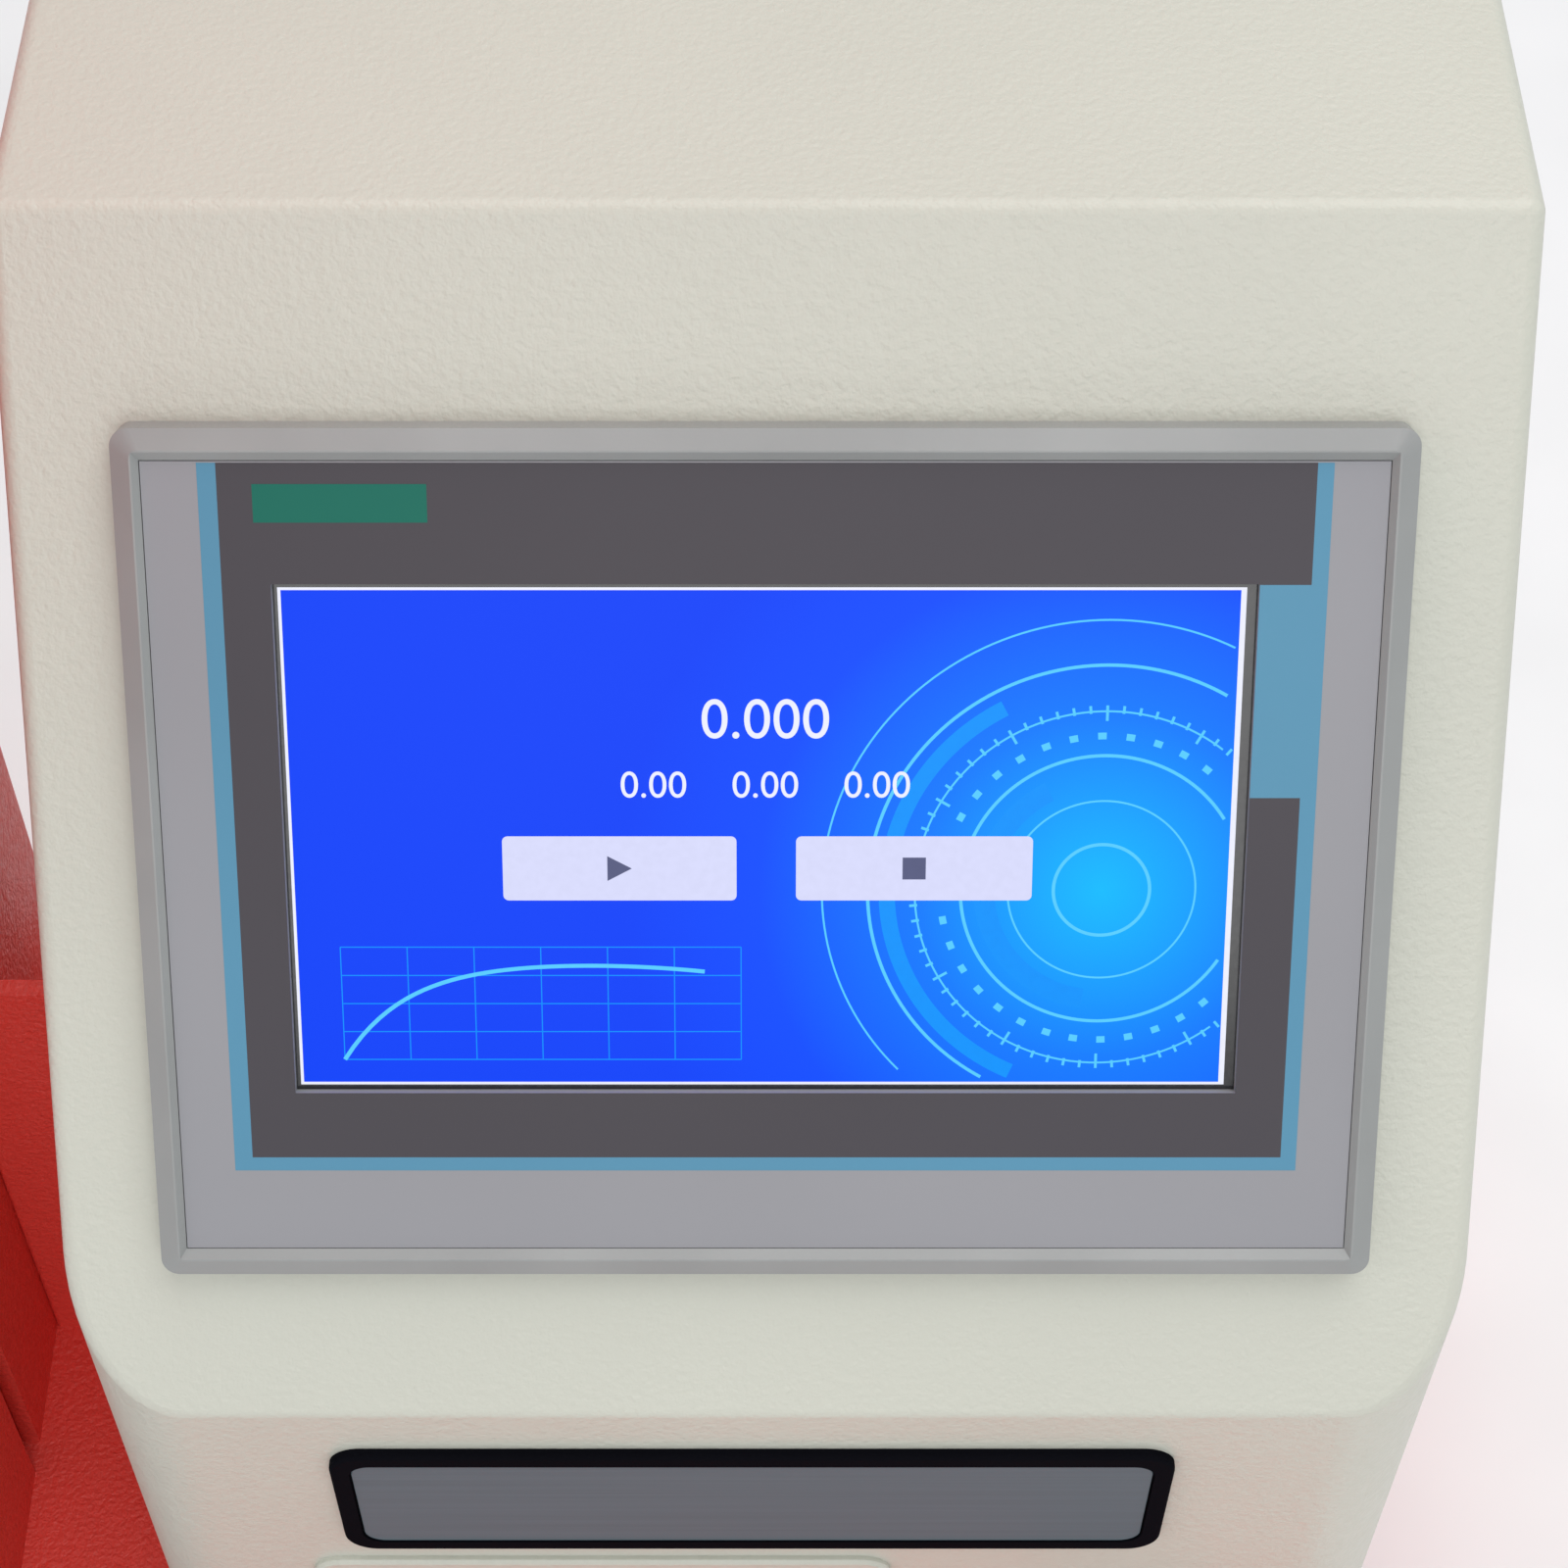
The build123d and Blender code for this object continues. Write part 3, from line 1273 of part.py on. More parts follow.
with BuildPart() as power_rocker:
    with BuildSketch(rocker_side):
        with BuildLine():
            Polyline(
                (-rocker_height / 2, rocker_low_face),
                (0, rocker_low_face),
                (rocker_height / 2 - rocker_edge, rocker_high_face),
                (rocker_height / 2 - 2 * rocker_edge, -rocker_side_depth),
                (rocker_foot_width, -rocker_foot_depth),
                (-rocker_foot_width, -rocker_foot_depth),
                (-rocker_height / 2 + rocker_edge, -rocker_side_depth),
                close=True,
            )
        make_face()
    extrude(amount=rocker_width)
    with BuildSketch(rocker_side.offset(-pivot_overhang)):
        with Locations((0, -rocker_pivot_depth)):
            Circle(rocker_pivot_radius)
    extrude(amount=rocker_width + 2 * pivot_overhang)
keep(power_rocker, "power_rocker")

with BuildPart() as signal_sockets:
    with BuildSketch(rear_plane):
        with Locations((socket_x, socket_z)):
            with GridLocations(socket_spacing, socket_spacing, 2, 1):
                Circle(socket_radius + socket_flange)
    extrude(amount=socket_flange_thickness)
    with BuildSketch(rear_plane.offset(-socket_depth)):
        with Locations((socket_x, socket_z)):
            with GridLocations(socket_spacing, socket_spacing, 2, 1):
                Circle(socket_radius)
    extrude(amount=socket_depth + socket_reach)
    with BuildSketch(rear_plane.offset(socket_floor - socket_depth)):
        with Locations((socket_x, socket_z)):
            with GridLocations(socket_spacing, socket_spacing, 2, 1):
                Circle(socket_radius - socket_wall)
    extrude(amount=socket_depth + socket_reach - socket_floor, mode=Mode.SUBTRACT)
keep(signal_sockets, "signal_sockets")

# Servo drive with its own supply, on the deck inside the console
fin_plane = Plane(
    origin=(console_x + drive_x + drive_width / 2, console_front_y + drive_y, deck_z + drive_height / 2),
    x_dir=(0, 0, 1),
    z_dir=(1, 0, 0),
)
with BuildPart() as servo_drive:
    with BuildSketch(Plane.XY.offset(deck_z)):
        with Locations((console_x + drive_x, console_front_y + drive_y)):
            Rectangle(drive_width, drive_depth)
    extrude(amount=drive_height)
    with BuildSketch(fin_plane):
        with GridLocations(fin_pitch, fin_pitch, 1, fin_count):
            Rectangle(drive_height - 2 * fin_margin, fin_gap)
    extrude(amount=-fin_depth, mode=Mode.SUBTRACT)
keep(servo_drive, "servo_drive")

# Touch panel: bezel with a crested rim, overlay, display and rear case
window_place = (0, window_rise)
with BuildPart() as hmi_bezel:
    straight_height = bezel_height - bezel_slope_height
    pocket_z = bezel_height - overlay_depth - overlay_thickness
    with BuildSketch(hmi_plane):
        RectangleRounded(hmi_width, hmi_height, hmi_corner_radius)
    extrude(amount=straight_height)
    with BuildSketch(hmi_plane.offset(straight_height)):
        RectangleRounded(hmi_width, hmi_height, hmi_corner_radius)
    with BuildSketch(hmi_plane.offset(bezel_height)):
        RectangleRounded(
            hmi_width - 2 * bezel_slope_width, hmi_height - 2 * bezel_slope_width, hmi_corner_radius / 2
        )
    loft()
    rim_inset = 2 * (bezel_slope_width + bezel_crest)
    with BuildSketch(hmi_plane.offset(bezel_height - overlay_depth)):
        Rectangle(overlay_width, overlay_height)
    with BuildSketch(hmi_plane.offset(bezel_height)):
        Rectangle(hmi_width - rim_inset, hmi_height - rim_inset)
    loft(mode=Mode.SUBTRACT)
    with BuildSketch(hmi_plane.offset(pocket_z)):
        Rectangle(overlay_width, overlay_height)
    extrude(amount=overlay_thickness, mode=Mode.SUBTRACT)
    with BuildSketch(hmi_plane):
        with Locations(window_place):
            Rectangle(window_width, window_height)
    extrude(amount=bezel_height, mode=Mode.SUBTRACT)
    display_front_z = bezel_height - overlay_depth - display_recess
    with BuildSketch(hmi_plane):
        with Locations(window_place):
            Rectangle(display_width + 2 * overlay_gap, display_height + 2 * overlay_gap)
    extrude(amount=display_front_z, mode=Mode.SUBTRACT)
keep(hmi_bezel, "hmi_bezel")

with BuildPart() as hmi_overlay:
    with BuildSketch(hmi_plane.offset(pocket_z)):
        Rectangle(overlay_width - 2 * overlay_gap, overlay_height - 2 * overlay_gap)
        with Locations(window_place):
            Rectangle(window_width, window_height, mode=Mode.SUBTRACT)
    extrude(amount=overlay_thickness)
keep(hmi_overlay, "hmi_overlay")

with BuildPart() as hmi_display:
    with BuildSketch(hmi_plane.offset(display_front_z)):
        with Locations(window_place):
            Rectangle(display_width, display_height)
    extrude(amount=-display_thickness)
keep(hmi_display, "hmi_display")

case_width = cutout_width - 2 * case_gap
case_height = cutout_height - 2 * case_gap
with BuildPart() as hmi_rear_case:
    with BuildSketch(hmi_plane):
        RectangleRounded(case_width, case_height, case_corner_radius)
    extrude(amount=-case_depth)
    with BuildSketch(hmi_plane):
        RectangleRounded(case_width - 2 * case_wall, case_height - 2 * case_wall, case_corner_radius / 2)
    extrude(amount=-case_depth + case_wall, mode=Mode.SUBTRACT)
    with BuildSketch(hmi_plane.offset(-case_depth + case_wall)):
        with GridLocations(case_width - 2 * case_post_inset, case_height - 2 * case_post_inset, 2, 2):
            Circle(case_post_radius)
    extrude(amount=case_depth / 2)
    with BuildSketch(hmi_plane.offset(-case_depth)):
        with GridLocations(case_vent_pitch, case_vent_pitch, case_vent_count, 1):
            SlotOverall(case_vent_length, case_vent_width, rotation=90)
    extrude(amount=case_wall, mode=Mode.SUBTRACT)
keep(hmi_rear_case, "hmi_rear_case")

# Name plate frame: a black tray whose floor takes a blank plate
with BuildPart() as name_frame:
    with BuildSketch(front_plane):
        with Locations((name_x, -name_drop)):
            RectangleRounded(name_width, name_height, name_corner_radius)
    extrude(amount=name_thickness)
    fillet(name_frame.faces().sort_by(Axis.Y)[0].edges(), name_edge)
    with BuildSketch(front_plane.offset(name_thickness - name_plate_recess)):
        with Locations((name_x, -name_drop)):
            RectangleRounded(name_width - 2 * name_rim, name_height - 2 * name_rim, name_plate_corner_radius)
    extrude(amount=name_plate_recess, mode=Mode.SUBTRACT)
keep(name_frame, "name_frame")

# Keys and the emergency stop, each in its trim ring
with BuildPart() as control_rings:
    with BuildSketch(front_plane.offset(pad_thickness)):
        with Locations((pad_x, -control_drop)):
            with GridLocations(key_spacing, key_spacing, 3, 1):
                Circle(key_ring_radius)
                Circle(key_radius + key_clearance, mode=Mode.SUBTRACT)
    extrude(amount=key_ring_height)
    with BuildSketch(front_plane):
        with Locations((estop_x, -control_drop)):
            Circle(estop_ring_radius)
            Circle(estop_stem_radius + key_clearance, mode=Mode.SUBTRACT)
    extrude(amount=estop_ring_height)
keep(control_rings, "control_rings")


def key(label, offset_x):
    """A push key whose barrel runs through the pad."""
    with BuildPart() as cap:
        with BuildSketch(front_plane.offset(pad_thickness + key_height)):
            with Locations((pad_x + offset_x, -control_drop)):
                Circle(key_radius)
        extrude(amount=-key_height - key_barrel_length)
        chamfer(cap.faces().sort_by(Axis.Y)[0].edges(), key_edge)
    keep(cap, label)


key("up_key", -key_spacing)
key("stop_key", 0)
key("down_key", key_spacing)

estop_head_start = estop_ring_height + estop_travel + estop_rest_gap
with BuildPart() as estop_stem:
    with BuildSketch(front_plane.offset(estop_head_start)):
        with Locations((estop_x, -control_drop)):
            Circle(estop_stem_radius)
    extrude(amount=-estop_head_start - key_barrel_length)
keep(estop_stem, "estop_stem")

with BuildPart() as estop_head:
    with BuildSketch(front_plane.offset(estop_head_start)):
        with Locations((estop_x, -control_drop)):
            Circle(estop_radius)
    extrude(amount=estop_height - estop_head_start)
    fillet(estop_head.faces().sort_by(Axis.Y)[0].edges(), estop_crown_radius)
    chamfer(estop_head.faces().sort_by(Axis.Y)[-1].edges(), estop_skirt)
keep(estop_head, "estop_head")

for piece in pieces:
    export_step(piece, os.path.join("parts", piece.label + ".step"))
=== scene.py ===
"""Finishes, printed panel, screen, threads and screws of a desktop tensile tester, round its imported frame.

Every piece takes its place from the frame. Lengths are metres, except on a face of the machine, where they
are millimetres that Face turns into places.
"""

import math

import bmesh
import bpy
from mathutils import Matrix, Vector


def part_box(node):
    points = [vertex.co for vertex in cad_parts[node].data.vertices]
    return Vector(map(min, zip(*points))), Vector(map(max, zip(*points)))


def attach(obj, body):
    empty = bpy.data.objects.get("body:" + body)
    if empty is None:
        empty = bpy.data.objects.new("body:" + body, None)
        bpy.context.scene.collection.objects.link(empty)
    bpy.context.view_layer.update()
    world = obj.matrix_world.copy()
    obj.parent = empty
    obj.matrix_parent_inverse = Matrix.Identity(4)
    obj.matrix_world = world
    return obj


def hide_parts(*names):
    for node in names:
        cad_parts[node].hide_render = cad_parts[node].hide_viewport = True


bl_info = {
    "name": "Tensile tester dressing",
    "version": (1, 0, 0),
    "blender": (4, 5, 0),
    "location": "View3D > Sidebar > Tester",
    "description": "Builds the looks of a desktop tensile tester round its frame",
    "category": "Object",
}

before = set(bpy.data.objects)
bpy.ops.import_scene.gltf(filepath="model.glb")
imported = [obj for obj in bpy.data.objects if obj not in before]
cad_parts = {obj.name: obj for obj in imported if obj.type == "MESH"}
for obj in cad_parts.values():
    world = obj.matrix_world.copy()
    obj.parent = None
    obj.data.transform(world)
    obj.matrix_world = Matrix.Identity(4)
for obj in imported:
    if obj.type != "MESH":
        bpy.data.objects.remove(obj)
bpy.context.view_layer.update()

MM = 0.001
RIGHT, LEFT, BACK, UP = (1, 0, 0), (-1, 0, 0), (0, 1, 0), (0, 0, 1)


# Faces of the machine that pieces are laid out on


class Face:
    """A flat face of the machine: u runs along it, v up it and n straight out of it."""

    def __init__(self, origin, u, v):
        self.origin = Vector(origin)
        self.u = Vector(u).normalized()
        self.v = Vector(v).normalized()
        self.n = self.u.cross(self.v)

    def at(self, u, v, n=0.0):
        """The point at those millimetres along the face."""
        return self.origin + (self.u * u + self.v * v + self.n * n) * MM

    def matrix(self, u=0.0, v=0.0, n=0.0):
        """Takes a piece drawn round the world's origin to that point of the face."""
        turn = Matrix((self.u, self.v, self.n)).transposed().to_4x4()
        return Matrix.Translation(self.at(u, v, n)) @ turn


def middle(low, high):
    """The middle of a box."""
    return (Vector(low) + Vector(high)) / 2


def front_of(name):
    """The front of a node's box, from the middle of that front."""
    low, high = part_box(name)
    return Face(((low[0] + high[0]) / 2, low[1], (low[2] + high[2]) / 2), RIGHT, UP)


def top_of(name):
    """The top of a node's box, from the middle of that top."""
    low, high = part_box(name)
    centre = middle(low, high)
    return Face((centre.x, centre.y, high[2]), RIGHT, BACK)


def rear_panel_at(low, high, out=0.0):
    """The rear panel's face, or one that stands out from it, behind the middle of a box."""
    return Face(((low[0] + high[0]) / 2, rear_high[1] + out * MM, (low[2] + high[2]) / 2), LEFT, UP)


shell_low, shell_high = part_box("console_shell")
rear_low, rear_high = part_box("console_rear_panel")

LEAN = math.radians(35)   # of the touch panel, back from the vertical
OVERLAY_FACE = 5.8   # film's face above the panel it is set in
GLASS_FACE = 4.2   # display's face above the same panel
DISPLAY_RISE = 4.3   # display's middle above the touch panel's
DISPLAY_DEPTH = 1.9   # display's face above its own middle
DIAL_U, DIAL_V = 55.0, -4.0   # middle of the screen's dial
INLET_FLANGE = 2.0
display_face = Face(middle(*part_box("hmi_display")), RIGHT, (0, math.sin(LEAN), math.cos(LEAN)))
touch_panel = Face(
    display_face.at(0, -DISPLAY_RISE, DISPLAY_DEPTH - GLASS_FACE), display_face.u, display_face.v
)
console_rear = Face(((shell_low[0] + shell_high[0]) / 2, rear_high[1], rear_low[2]), LEFT, UP)
mains_face = rear_panel_at(*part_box("mains_inlet"), INLET_FLANGE)
fan_face = rear_panel_at(*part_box("fan_frame"))


# Sizes and colours that a user would change


def colour_property(name, description, default):
    """A colour of one of the property groups."""
    return bpy.props.FloatVectorProperty(
        name=name, description=description, size=3, subtype="COLOR", min=0, max=1, default=default
    )


def length_property(name, description, default, least):
    """A length in metres of one of the property groups."""
    return bpy.props.FloatProperty(
        name=name, description=description, subtype="DISTANCE", unit="LENGTH", default=default, min=least
    )


class TesterFinish(bpy.types.PropertyGroup):
    """Colours and surface scales of the machine's finishes."""

    cream: colour_property("Cream", "Powder coat of the console", (0.600, 0.605, 0.525))
    red: colour_property("Red", "Powder coat of the base and column", (0.85, 0.078, 0.058))
    overlay: colour_property("Film", "Ground colour of the touch panel's film", (0.315, 0.315, 0.335))
    field: colour_property("Field", "Dark field of the film", (0.070, 0.064, 0.074))
    band: colour_property("Band", "Bands round the dark field", (0.100, 0.285, 0.425))
    peel: length_property("Orange peel", "Width of one bump of the powder coat", 0.0013, 0.0002)


class TesterScreen(bpy.types.PropertyGroup):
    """Sizes of what the touch panel shows, in millimetres on its face."""

    width: bpy.props.FloatProperty(name="Width", description="Lit width", default=154.0, min=50)
    height: bpy.props.FloatProperty(name="Height", description="Lit height", default=85.6, min=30)
    rise: bpy.props.FloatProperty(name="Rise", description="Lit area above the panel's middle", default=4.3)
    rings: bpy.props.IntProperty(name="Rings", description="Rings of the dial", default=6, min=1, max=12)
    ring_step: bpy.props.FloatProperty(name="Ring step", description="From ring to ring", default=7.6, min=1)
    ticks: bpy.props.IntProperty(name="Ticks", description="Marks round the dial", default=72, min=8)
    glow: bpy.props.FloatProperty(name="Glow", description="Strength of the lit screen", default=1.0, min=0)


class TesterScrews(bpy.types.PropertyGroup):
    """Sizes of the small screws and of the clamp screws' threads."""

    head_radius: length_property("Head", "Radius of a panel screw's head", 0.0028, 0.0005)
    cap_radius: length_property("Cap", "Radius of a socket cap screw's head", 0.0062, 0.001)
    clamp_pitch: length_property("Pitch", "Pitch of the clamp screws", 0.00175, 0.0005)


# Materials


class Finish:
    """A node material under construction, with the links that most finishes share."""

    def __init__(self, name):
        self.material = bpy.data.materials.new(name)
        self.material.use_nodes = True
        self.tree = self.material.node_tree
        self.shader = self.tree.nodes["Principled BSDF"]
        self.place = self.add("ShaderNodeTexCoord").outputs["Object"]

    def add(self, kind, **values):
        node = self.tree.nodes.new(kind)
        for key, value in values.items():
            if hasattr(node, key):
                setattr(node, key, value)
            else:
                node.inputs[key.replace("_", " ").title()].default_value = value
        return node

    def link(self, output, node, name):
        self.tree.links.new(output, node.inputs[name])

    def set(self, **values):
        for key, value in values.items():
            self.shader.inputs[key.replace("_", " ").title().replace("Ior", "IOR")].default_value = value
        return self

    def noise(self, scale, detail=2.0, stretch=None):
        """A noise over the object's own coordinates, longer along the axes whose stretch is small."""
        node = self.add("ShaderNodeTexNoise", scale=scale, detail=detail)
        place = self.place
        if stretch:
            mapping = self.add("ShaderNodeMapping")
            mapping.inputs["Scale"].default_value = stretch
            self.link(place, mapping, "Vector")
            place = mapping.outputs["Vector"]
        self.link(place, node, "Vector")
        return node.outputs["Fac"]

    def ramp(self, value, stops):
        """Turns a value into the colours or greys of (position, colour) stops."""
        node = self.add("ShaderNodeValToRGB")
        ramp = node.color_ramp
        while len(ramp.elements) < len(stops):
            ramp.elements.new(0.5)
        for element, (position, colour) in zip(ramp.elements, stops):
            element.position = position
            element.color = (*colour, 1) if not isinstance(colour, float) else (colour, colour, colour, 1)
        self.link(value, node, "Fac")
        return node.outputs["Color"]

    def bump(self, value, depth, after=None):
        """Raises the surface by a value, depth metres at most, on top of an earlier bump."""
        node = self.add("ShaderNodeBump", distance=depth, strength=1.0)
        self.link(value, node, "Height")
        if after:
            self.link(after, node, "Normal")
        self.link(node.outputs["Normal"], self.shader, "Normal")
        return node.outputs["Normal"]

    def maths(self, operation, first, second):
        """A math node on two outputs, or on an output and a number."""
        node = self.add("ShaderNodeMath", operation=operation)
        for index, value in enumerate((first, second)):
            if isinstance(value, float):
                node.inputs[index].default_value = value
            else:
                self.link(value, node, index)
        return node.outputs[0]

    def tones(self, value, colour, dark, light, stops=(0.3, 0.7)):
        """Lets a value take a colour from a darker to a lighter tone."""
        return self.ramp(value, list(zip(stops, (shade(colour, dark), shade(colour, light)))))

    def paint(self, value, colour, dark, light, stops=(0.3, 0.7)):
        """Gives the surface such tones."""
        self.link(self.tones(value, colour, dark, light, stops), self.shader, "Base Color")

    def roughen(self, value, smooth, rough, stops=(0.3, 0.7)):
        """Lets a value take the surface from smooth to rough."""
        self.link(self.ramp(value, list(zip(stops, (smooth, rough)))), self.shader, "Roughness")


def shade(colour, factor):
    """A colour made darker or lighter."""
    return tuple(min(1.0, channel * factor) for channel in colour)


SPECK_CELLS = 150   # cells in a metre, of which a few hold a speck
SPECK_SHARE = 0.012
SPECK_RADIUS = 0.05   # in cells
FINE_PEEL = 3.2   # fine bumps in the width of one bump
SCRATCH = 0.00001
FILM_GRAIN = 0.000004


def with_specks(finish, ground, speck):
    """Strews a few dark specks over a colour."""
    cells = finish.add("ShaderNodeTexVoronoi", scale=SPECK_CELLS)
    finish.link(finish.place, cells, "Vector")
    chance = finish.add("ShaderNodeSeparateColor")
    finish.link(cells.outputs["Color"], chance, "Color")
    rare = finish.maths("LESS_THAN", chance.outputs["Red"], SPECK_SHARE)
    small = finish.maths("LESS_THAN", cells.outputs["Distance"], SPECK_RADIUS)
    mix = finish.add("ShaderNodeMix", data_type="RGBA")
    finish.link(finish.maths("MULTIPLY", rare, small), mix, "Factor")
    # The colour sockets of this node share their names with its number sockets
    finish.link(ground, mix, 6)
    mix.inputs[7].default_value = (*speck, 1)
    return mix.outputs[2]


def powder_coat(name, colour, peel, depth, specks=False):
    """Textured powder coat: a soft orange peel, a slow drift of tone and, if asked, fine dark specks."""
    finish = Finish(name)
    drift = finish.tones(finish.noise(9, 3), colour, 0.97, 1.02)
    if specks:
        drift = with_specks(finish, drift, shade(colour, 0.25))
    finish.link(drift, finish.shader, "Base Color")
    coarse = finish.bump(finish.noise(1 / peel, 1.5), depth)
    finish.bump(finish.noise(FINE_PEEL / peel, 2), depth * 0.3, coarse)
    finish.roughen(finish.noise(0.5 / peel, 2), 0.34, 0.46)
    return finish.set(ior=1.5).material


def worked_metal(name, colour, roughness, stretch=(900, 900, 12)):
    """Metal whose tool or brush marks run along the axis with the smallest stretch."""
    finish = Finish(name)
    lines = finish.noise(1.0, 3, stretch)
    finish.paint(lines, colour, 0.90, 1.06)
    finish.roughen(lines, roughness - 0.05, roughness + 0.05, (0.25, 0.75))
    finish.bump(lines, SCRATCH)
    return finish.set(metallic=1.0).material


def moulding(name, colour, roughness=0.45, grain=0.0006, depth=0.00002, coat=0.0, gloss=0.5):
    """Moulded plastic with a fine spark-eroded grain."""
    finish = Finish(name)
    finish.paint(finish.noise(30, 3), colour, 0.92, 1.06)
    fine = finish.noise(1 / grain, 2)
    finish.roughen(fine, roughness - 0.05, roughness + 0.05)
    finish.bump(fine, depth)
    return finish.set(coat_weight=coat, coat_roughness=0.12, specular_ior_level=gloss).material


def rubber(name, colour):
    """Black rubber with dust in its grain."""
    finish = Finish(name)
    dust = finish.noise(260, 4)
    finish.paint(dust, colour, 1.0, 1.9, (0.45, 0.8))
    finish.bump(dust, 0.00005)
    return finish.set(roughness=0.78).material


def printed_film(name, colour, roughness=0.38):
    """Screen-printed polyester film: an even ink under a fine satin."""
    finish = Finish(name)
    finish.paint(finish.noise(14, 2), colour, 0.975, 1.02)
    finish.bump(finish.noise(2600, 1), FILM_GRAIN)
    return finish.set(roughness=roughness, ior=1.48, specular_ior_level=0.22).material


def silver_film(name, colour):
    """Silver printed film: faint brush lines under a satin face, no mirror."""
    finish = Finish(name)
    lines = finish.noise(1.0, 3, (12, 900, 900))
    finish.paint(lines, colour, 0.94, 1.05)
    finish.bump(lines, FILM_GRAIN)
    return finish.set(metallic=0.2, roughness=0.5, specular_ior_level=0.3).material


def lit(name, colour, strength):
    """A lit mark of the screen under its glass."""
    finish = Finish(name)
    finish.link(finish.tones(finish.noise(700, 1), colour, 0.97, 1.0), finish.shader, "Emission Color")
    return finish.set(
        base_color=(0, 0, 0, 1), roughness=0.25, emission_strength=strength, specular_ior_level=0.12
    ).material


GLOW_REACH = 0.078
GLOW_STOPS = [
    (0.0, (0.0, 0.50, 1.0)), (0.38, (0.0, 0.20, 1.0)), (0.72, (0.0, 0.075, 1.0)), (1.0, (0.0, 0.055, 0.94)),
]


def lit_ground(name, strength):
    """The lit screen's ground: deep blue, brighter towards the dial at its right."""
    finish = Finish(name)
    mapping = finish.add("ShaderNodeMapping")
    mapping.vector_type = "TEXTURE"
    mapping.inputs["Location"].default_value = touch_panel.at(DIAL_U, DIAL_V, GLASS_FACE)
    mapping.inputs["Scale"].default_value = (GLOW_REACH, GLOW_REACH, GLOW_REACH)
    finish.link(finish.place, mapping, "Vector")
    reach = finish.add("ShaderNodeVectorMath", operation="LENGTH")
    finish.link(mapping.outputs["Vector"], reach, 0)
    finish.link(finish.ramp(reach.outputs["Value"], GLOW_STOPS), finish.shader, "Emission Color")
    return finish.set(
        base_color=(0, 0, 0.01, 1), roughness=0.3, emission_strength=strength, specular_ior_level=0.12
    ).material


def circuit(name):
    """Green board with its copper traces showing through."""
    finish = Finish(name)
    traces = finish.add("ShaderNodeTexBrick", scale=240)
    finish.link(finish.place, traces, "Vector")
    traces.inputs["Color1"].default_value = (0.010, 0.11, 0.045, 1)
    traces.inputs["Color2"].default_value = (0.012, 0.14, 0.060, 1)
    traces.inputs["Mortar"].default_value = (0.03, 0.22, 0.09, 1)
    finish.link(traces.outputs["Color"], finish.shader, "Base Color")
    finish.bump(traces.outputs["Fac"], 0.00002)
    return finish.set(roughness=0.4).material


# Finish: name of its material, colour, roughness, and the stretch of its marks
METALS = {
    "cover": ("anodised_cover", (0.52, 0.53, 0.55), 0.36),
    "machined": ("machined_aluminium", (0.70, 0.71, 0.72), 0.34, (14, 700, 700)),
    "ground": ("ground_steel", (0.60, 0.61, 0.62), 0.22),
    "turned": ("turned_steel", (0.60, 0.61, 0.62), 0.26, (900, 40, 40)),
    "bearing": ("bearing_steel", (0.50, 0.51, 0.53), 0.30, (60, 500, 60)),
    "plated": ("plated_steel", (0.66, 0.67, 0.68), 0.24, (500, 20, 500)),
    "table": ("ground_table", (0.56, 0.57, 0.58), 0.30, (16, 900, 900)),
    "jaw": ("hardened_jaw", (0.16, 0.16, 0.17), 0.38, (400, 20, 400)),
    "cell": ("nickel_cell", (0.66, 0.64, 0.58), 0.26, (24, 600, 600)),
    "zinc": ("zinc_plate", (0.62, 0.63, 0.62), 0.34, (200, 200, 200)),
    "drive": ("drive_case", (0.30, 0.31, 0.33), 0.42, (300, 300, 20)),
    "ring": ("chromed_ring", (0.72, 0.72, 0.73), 0.16, (300, 20, 300)),
    "dark_steel": ("blackened_steel", (0.07, 0.07, 0.075), 0.42, (300, 300, 300)),
    "gold": ("gilt_pins", (0.72, 0.50, 0.18), 0.25, (400, 400, 40)),
}

# Finish: name of its material, colour, roughness, width and depth of its grain, clear coat, gloss
MOULDINGS = {
    "plate_frame": ("plate_frame_black", (0.004, 0.004, 0.006), 0.85, 0.0008, 0.000004, 0.0, 0.02),
    "black": ("black_moulding", (0.018, 0.018, 0.019)),
    "gloss_black": ("gloss_black", (0.010, 0.010, 0.011), 0.16, 0.001, 0.000004, 0.5),
    "motor": ("motor_enamel", (0.02, 0.02, 0.022), 0.30, 0.0008, 0.00003, 0.2),
    "bezel": ("bezel_grey", (0.31, 0.32, 0.315), 0.40, 0.0005, 0.00001, 0.05),
    "case": ("grey_case", (0.30, 0.30, 0.31)),
    "green": ("green_key", (0.02, 0.30, 0.08), 0.30, 0.0006, 0.000005, 0.3),
    "grey_key": ("grey_key", (0.24, 0.24, 0.25), 0.30, 0.0006, 0.000005, 0.3),
    "stop": ("stop_red", (0.55, 0.012, 0.010), 0.24, 0.0008, 0.000005, 0.5),
}

# Finish: name of its material, and colour of its light
LIGHTS_OF_SCREEN = {
    "line_light": ("screen_lines", (0.10, 0.62, 1.0)),
    "soft_light": ("screen_soft", (0.0, 0.30, 1.0)),
    "white_light": ("screen_white", (0.86, 0.88, 1.0)),
    "button_light": ("screen_buttons", (0.70, 0.72, 0.98)),
    "button_mark": ("screen_button_marks", (0.10, 0.11, 0.22)),
}
materials = {}


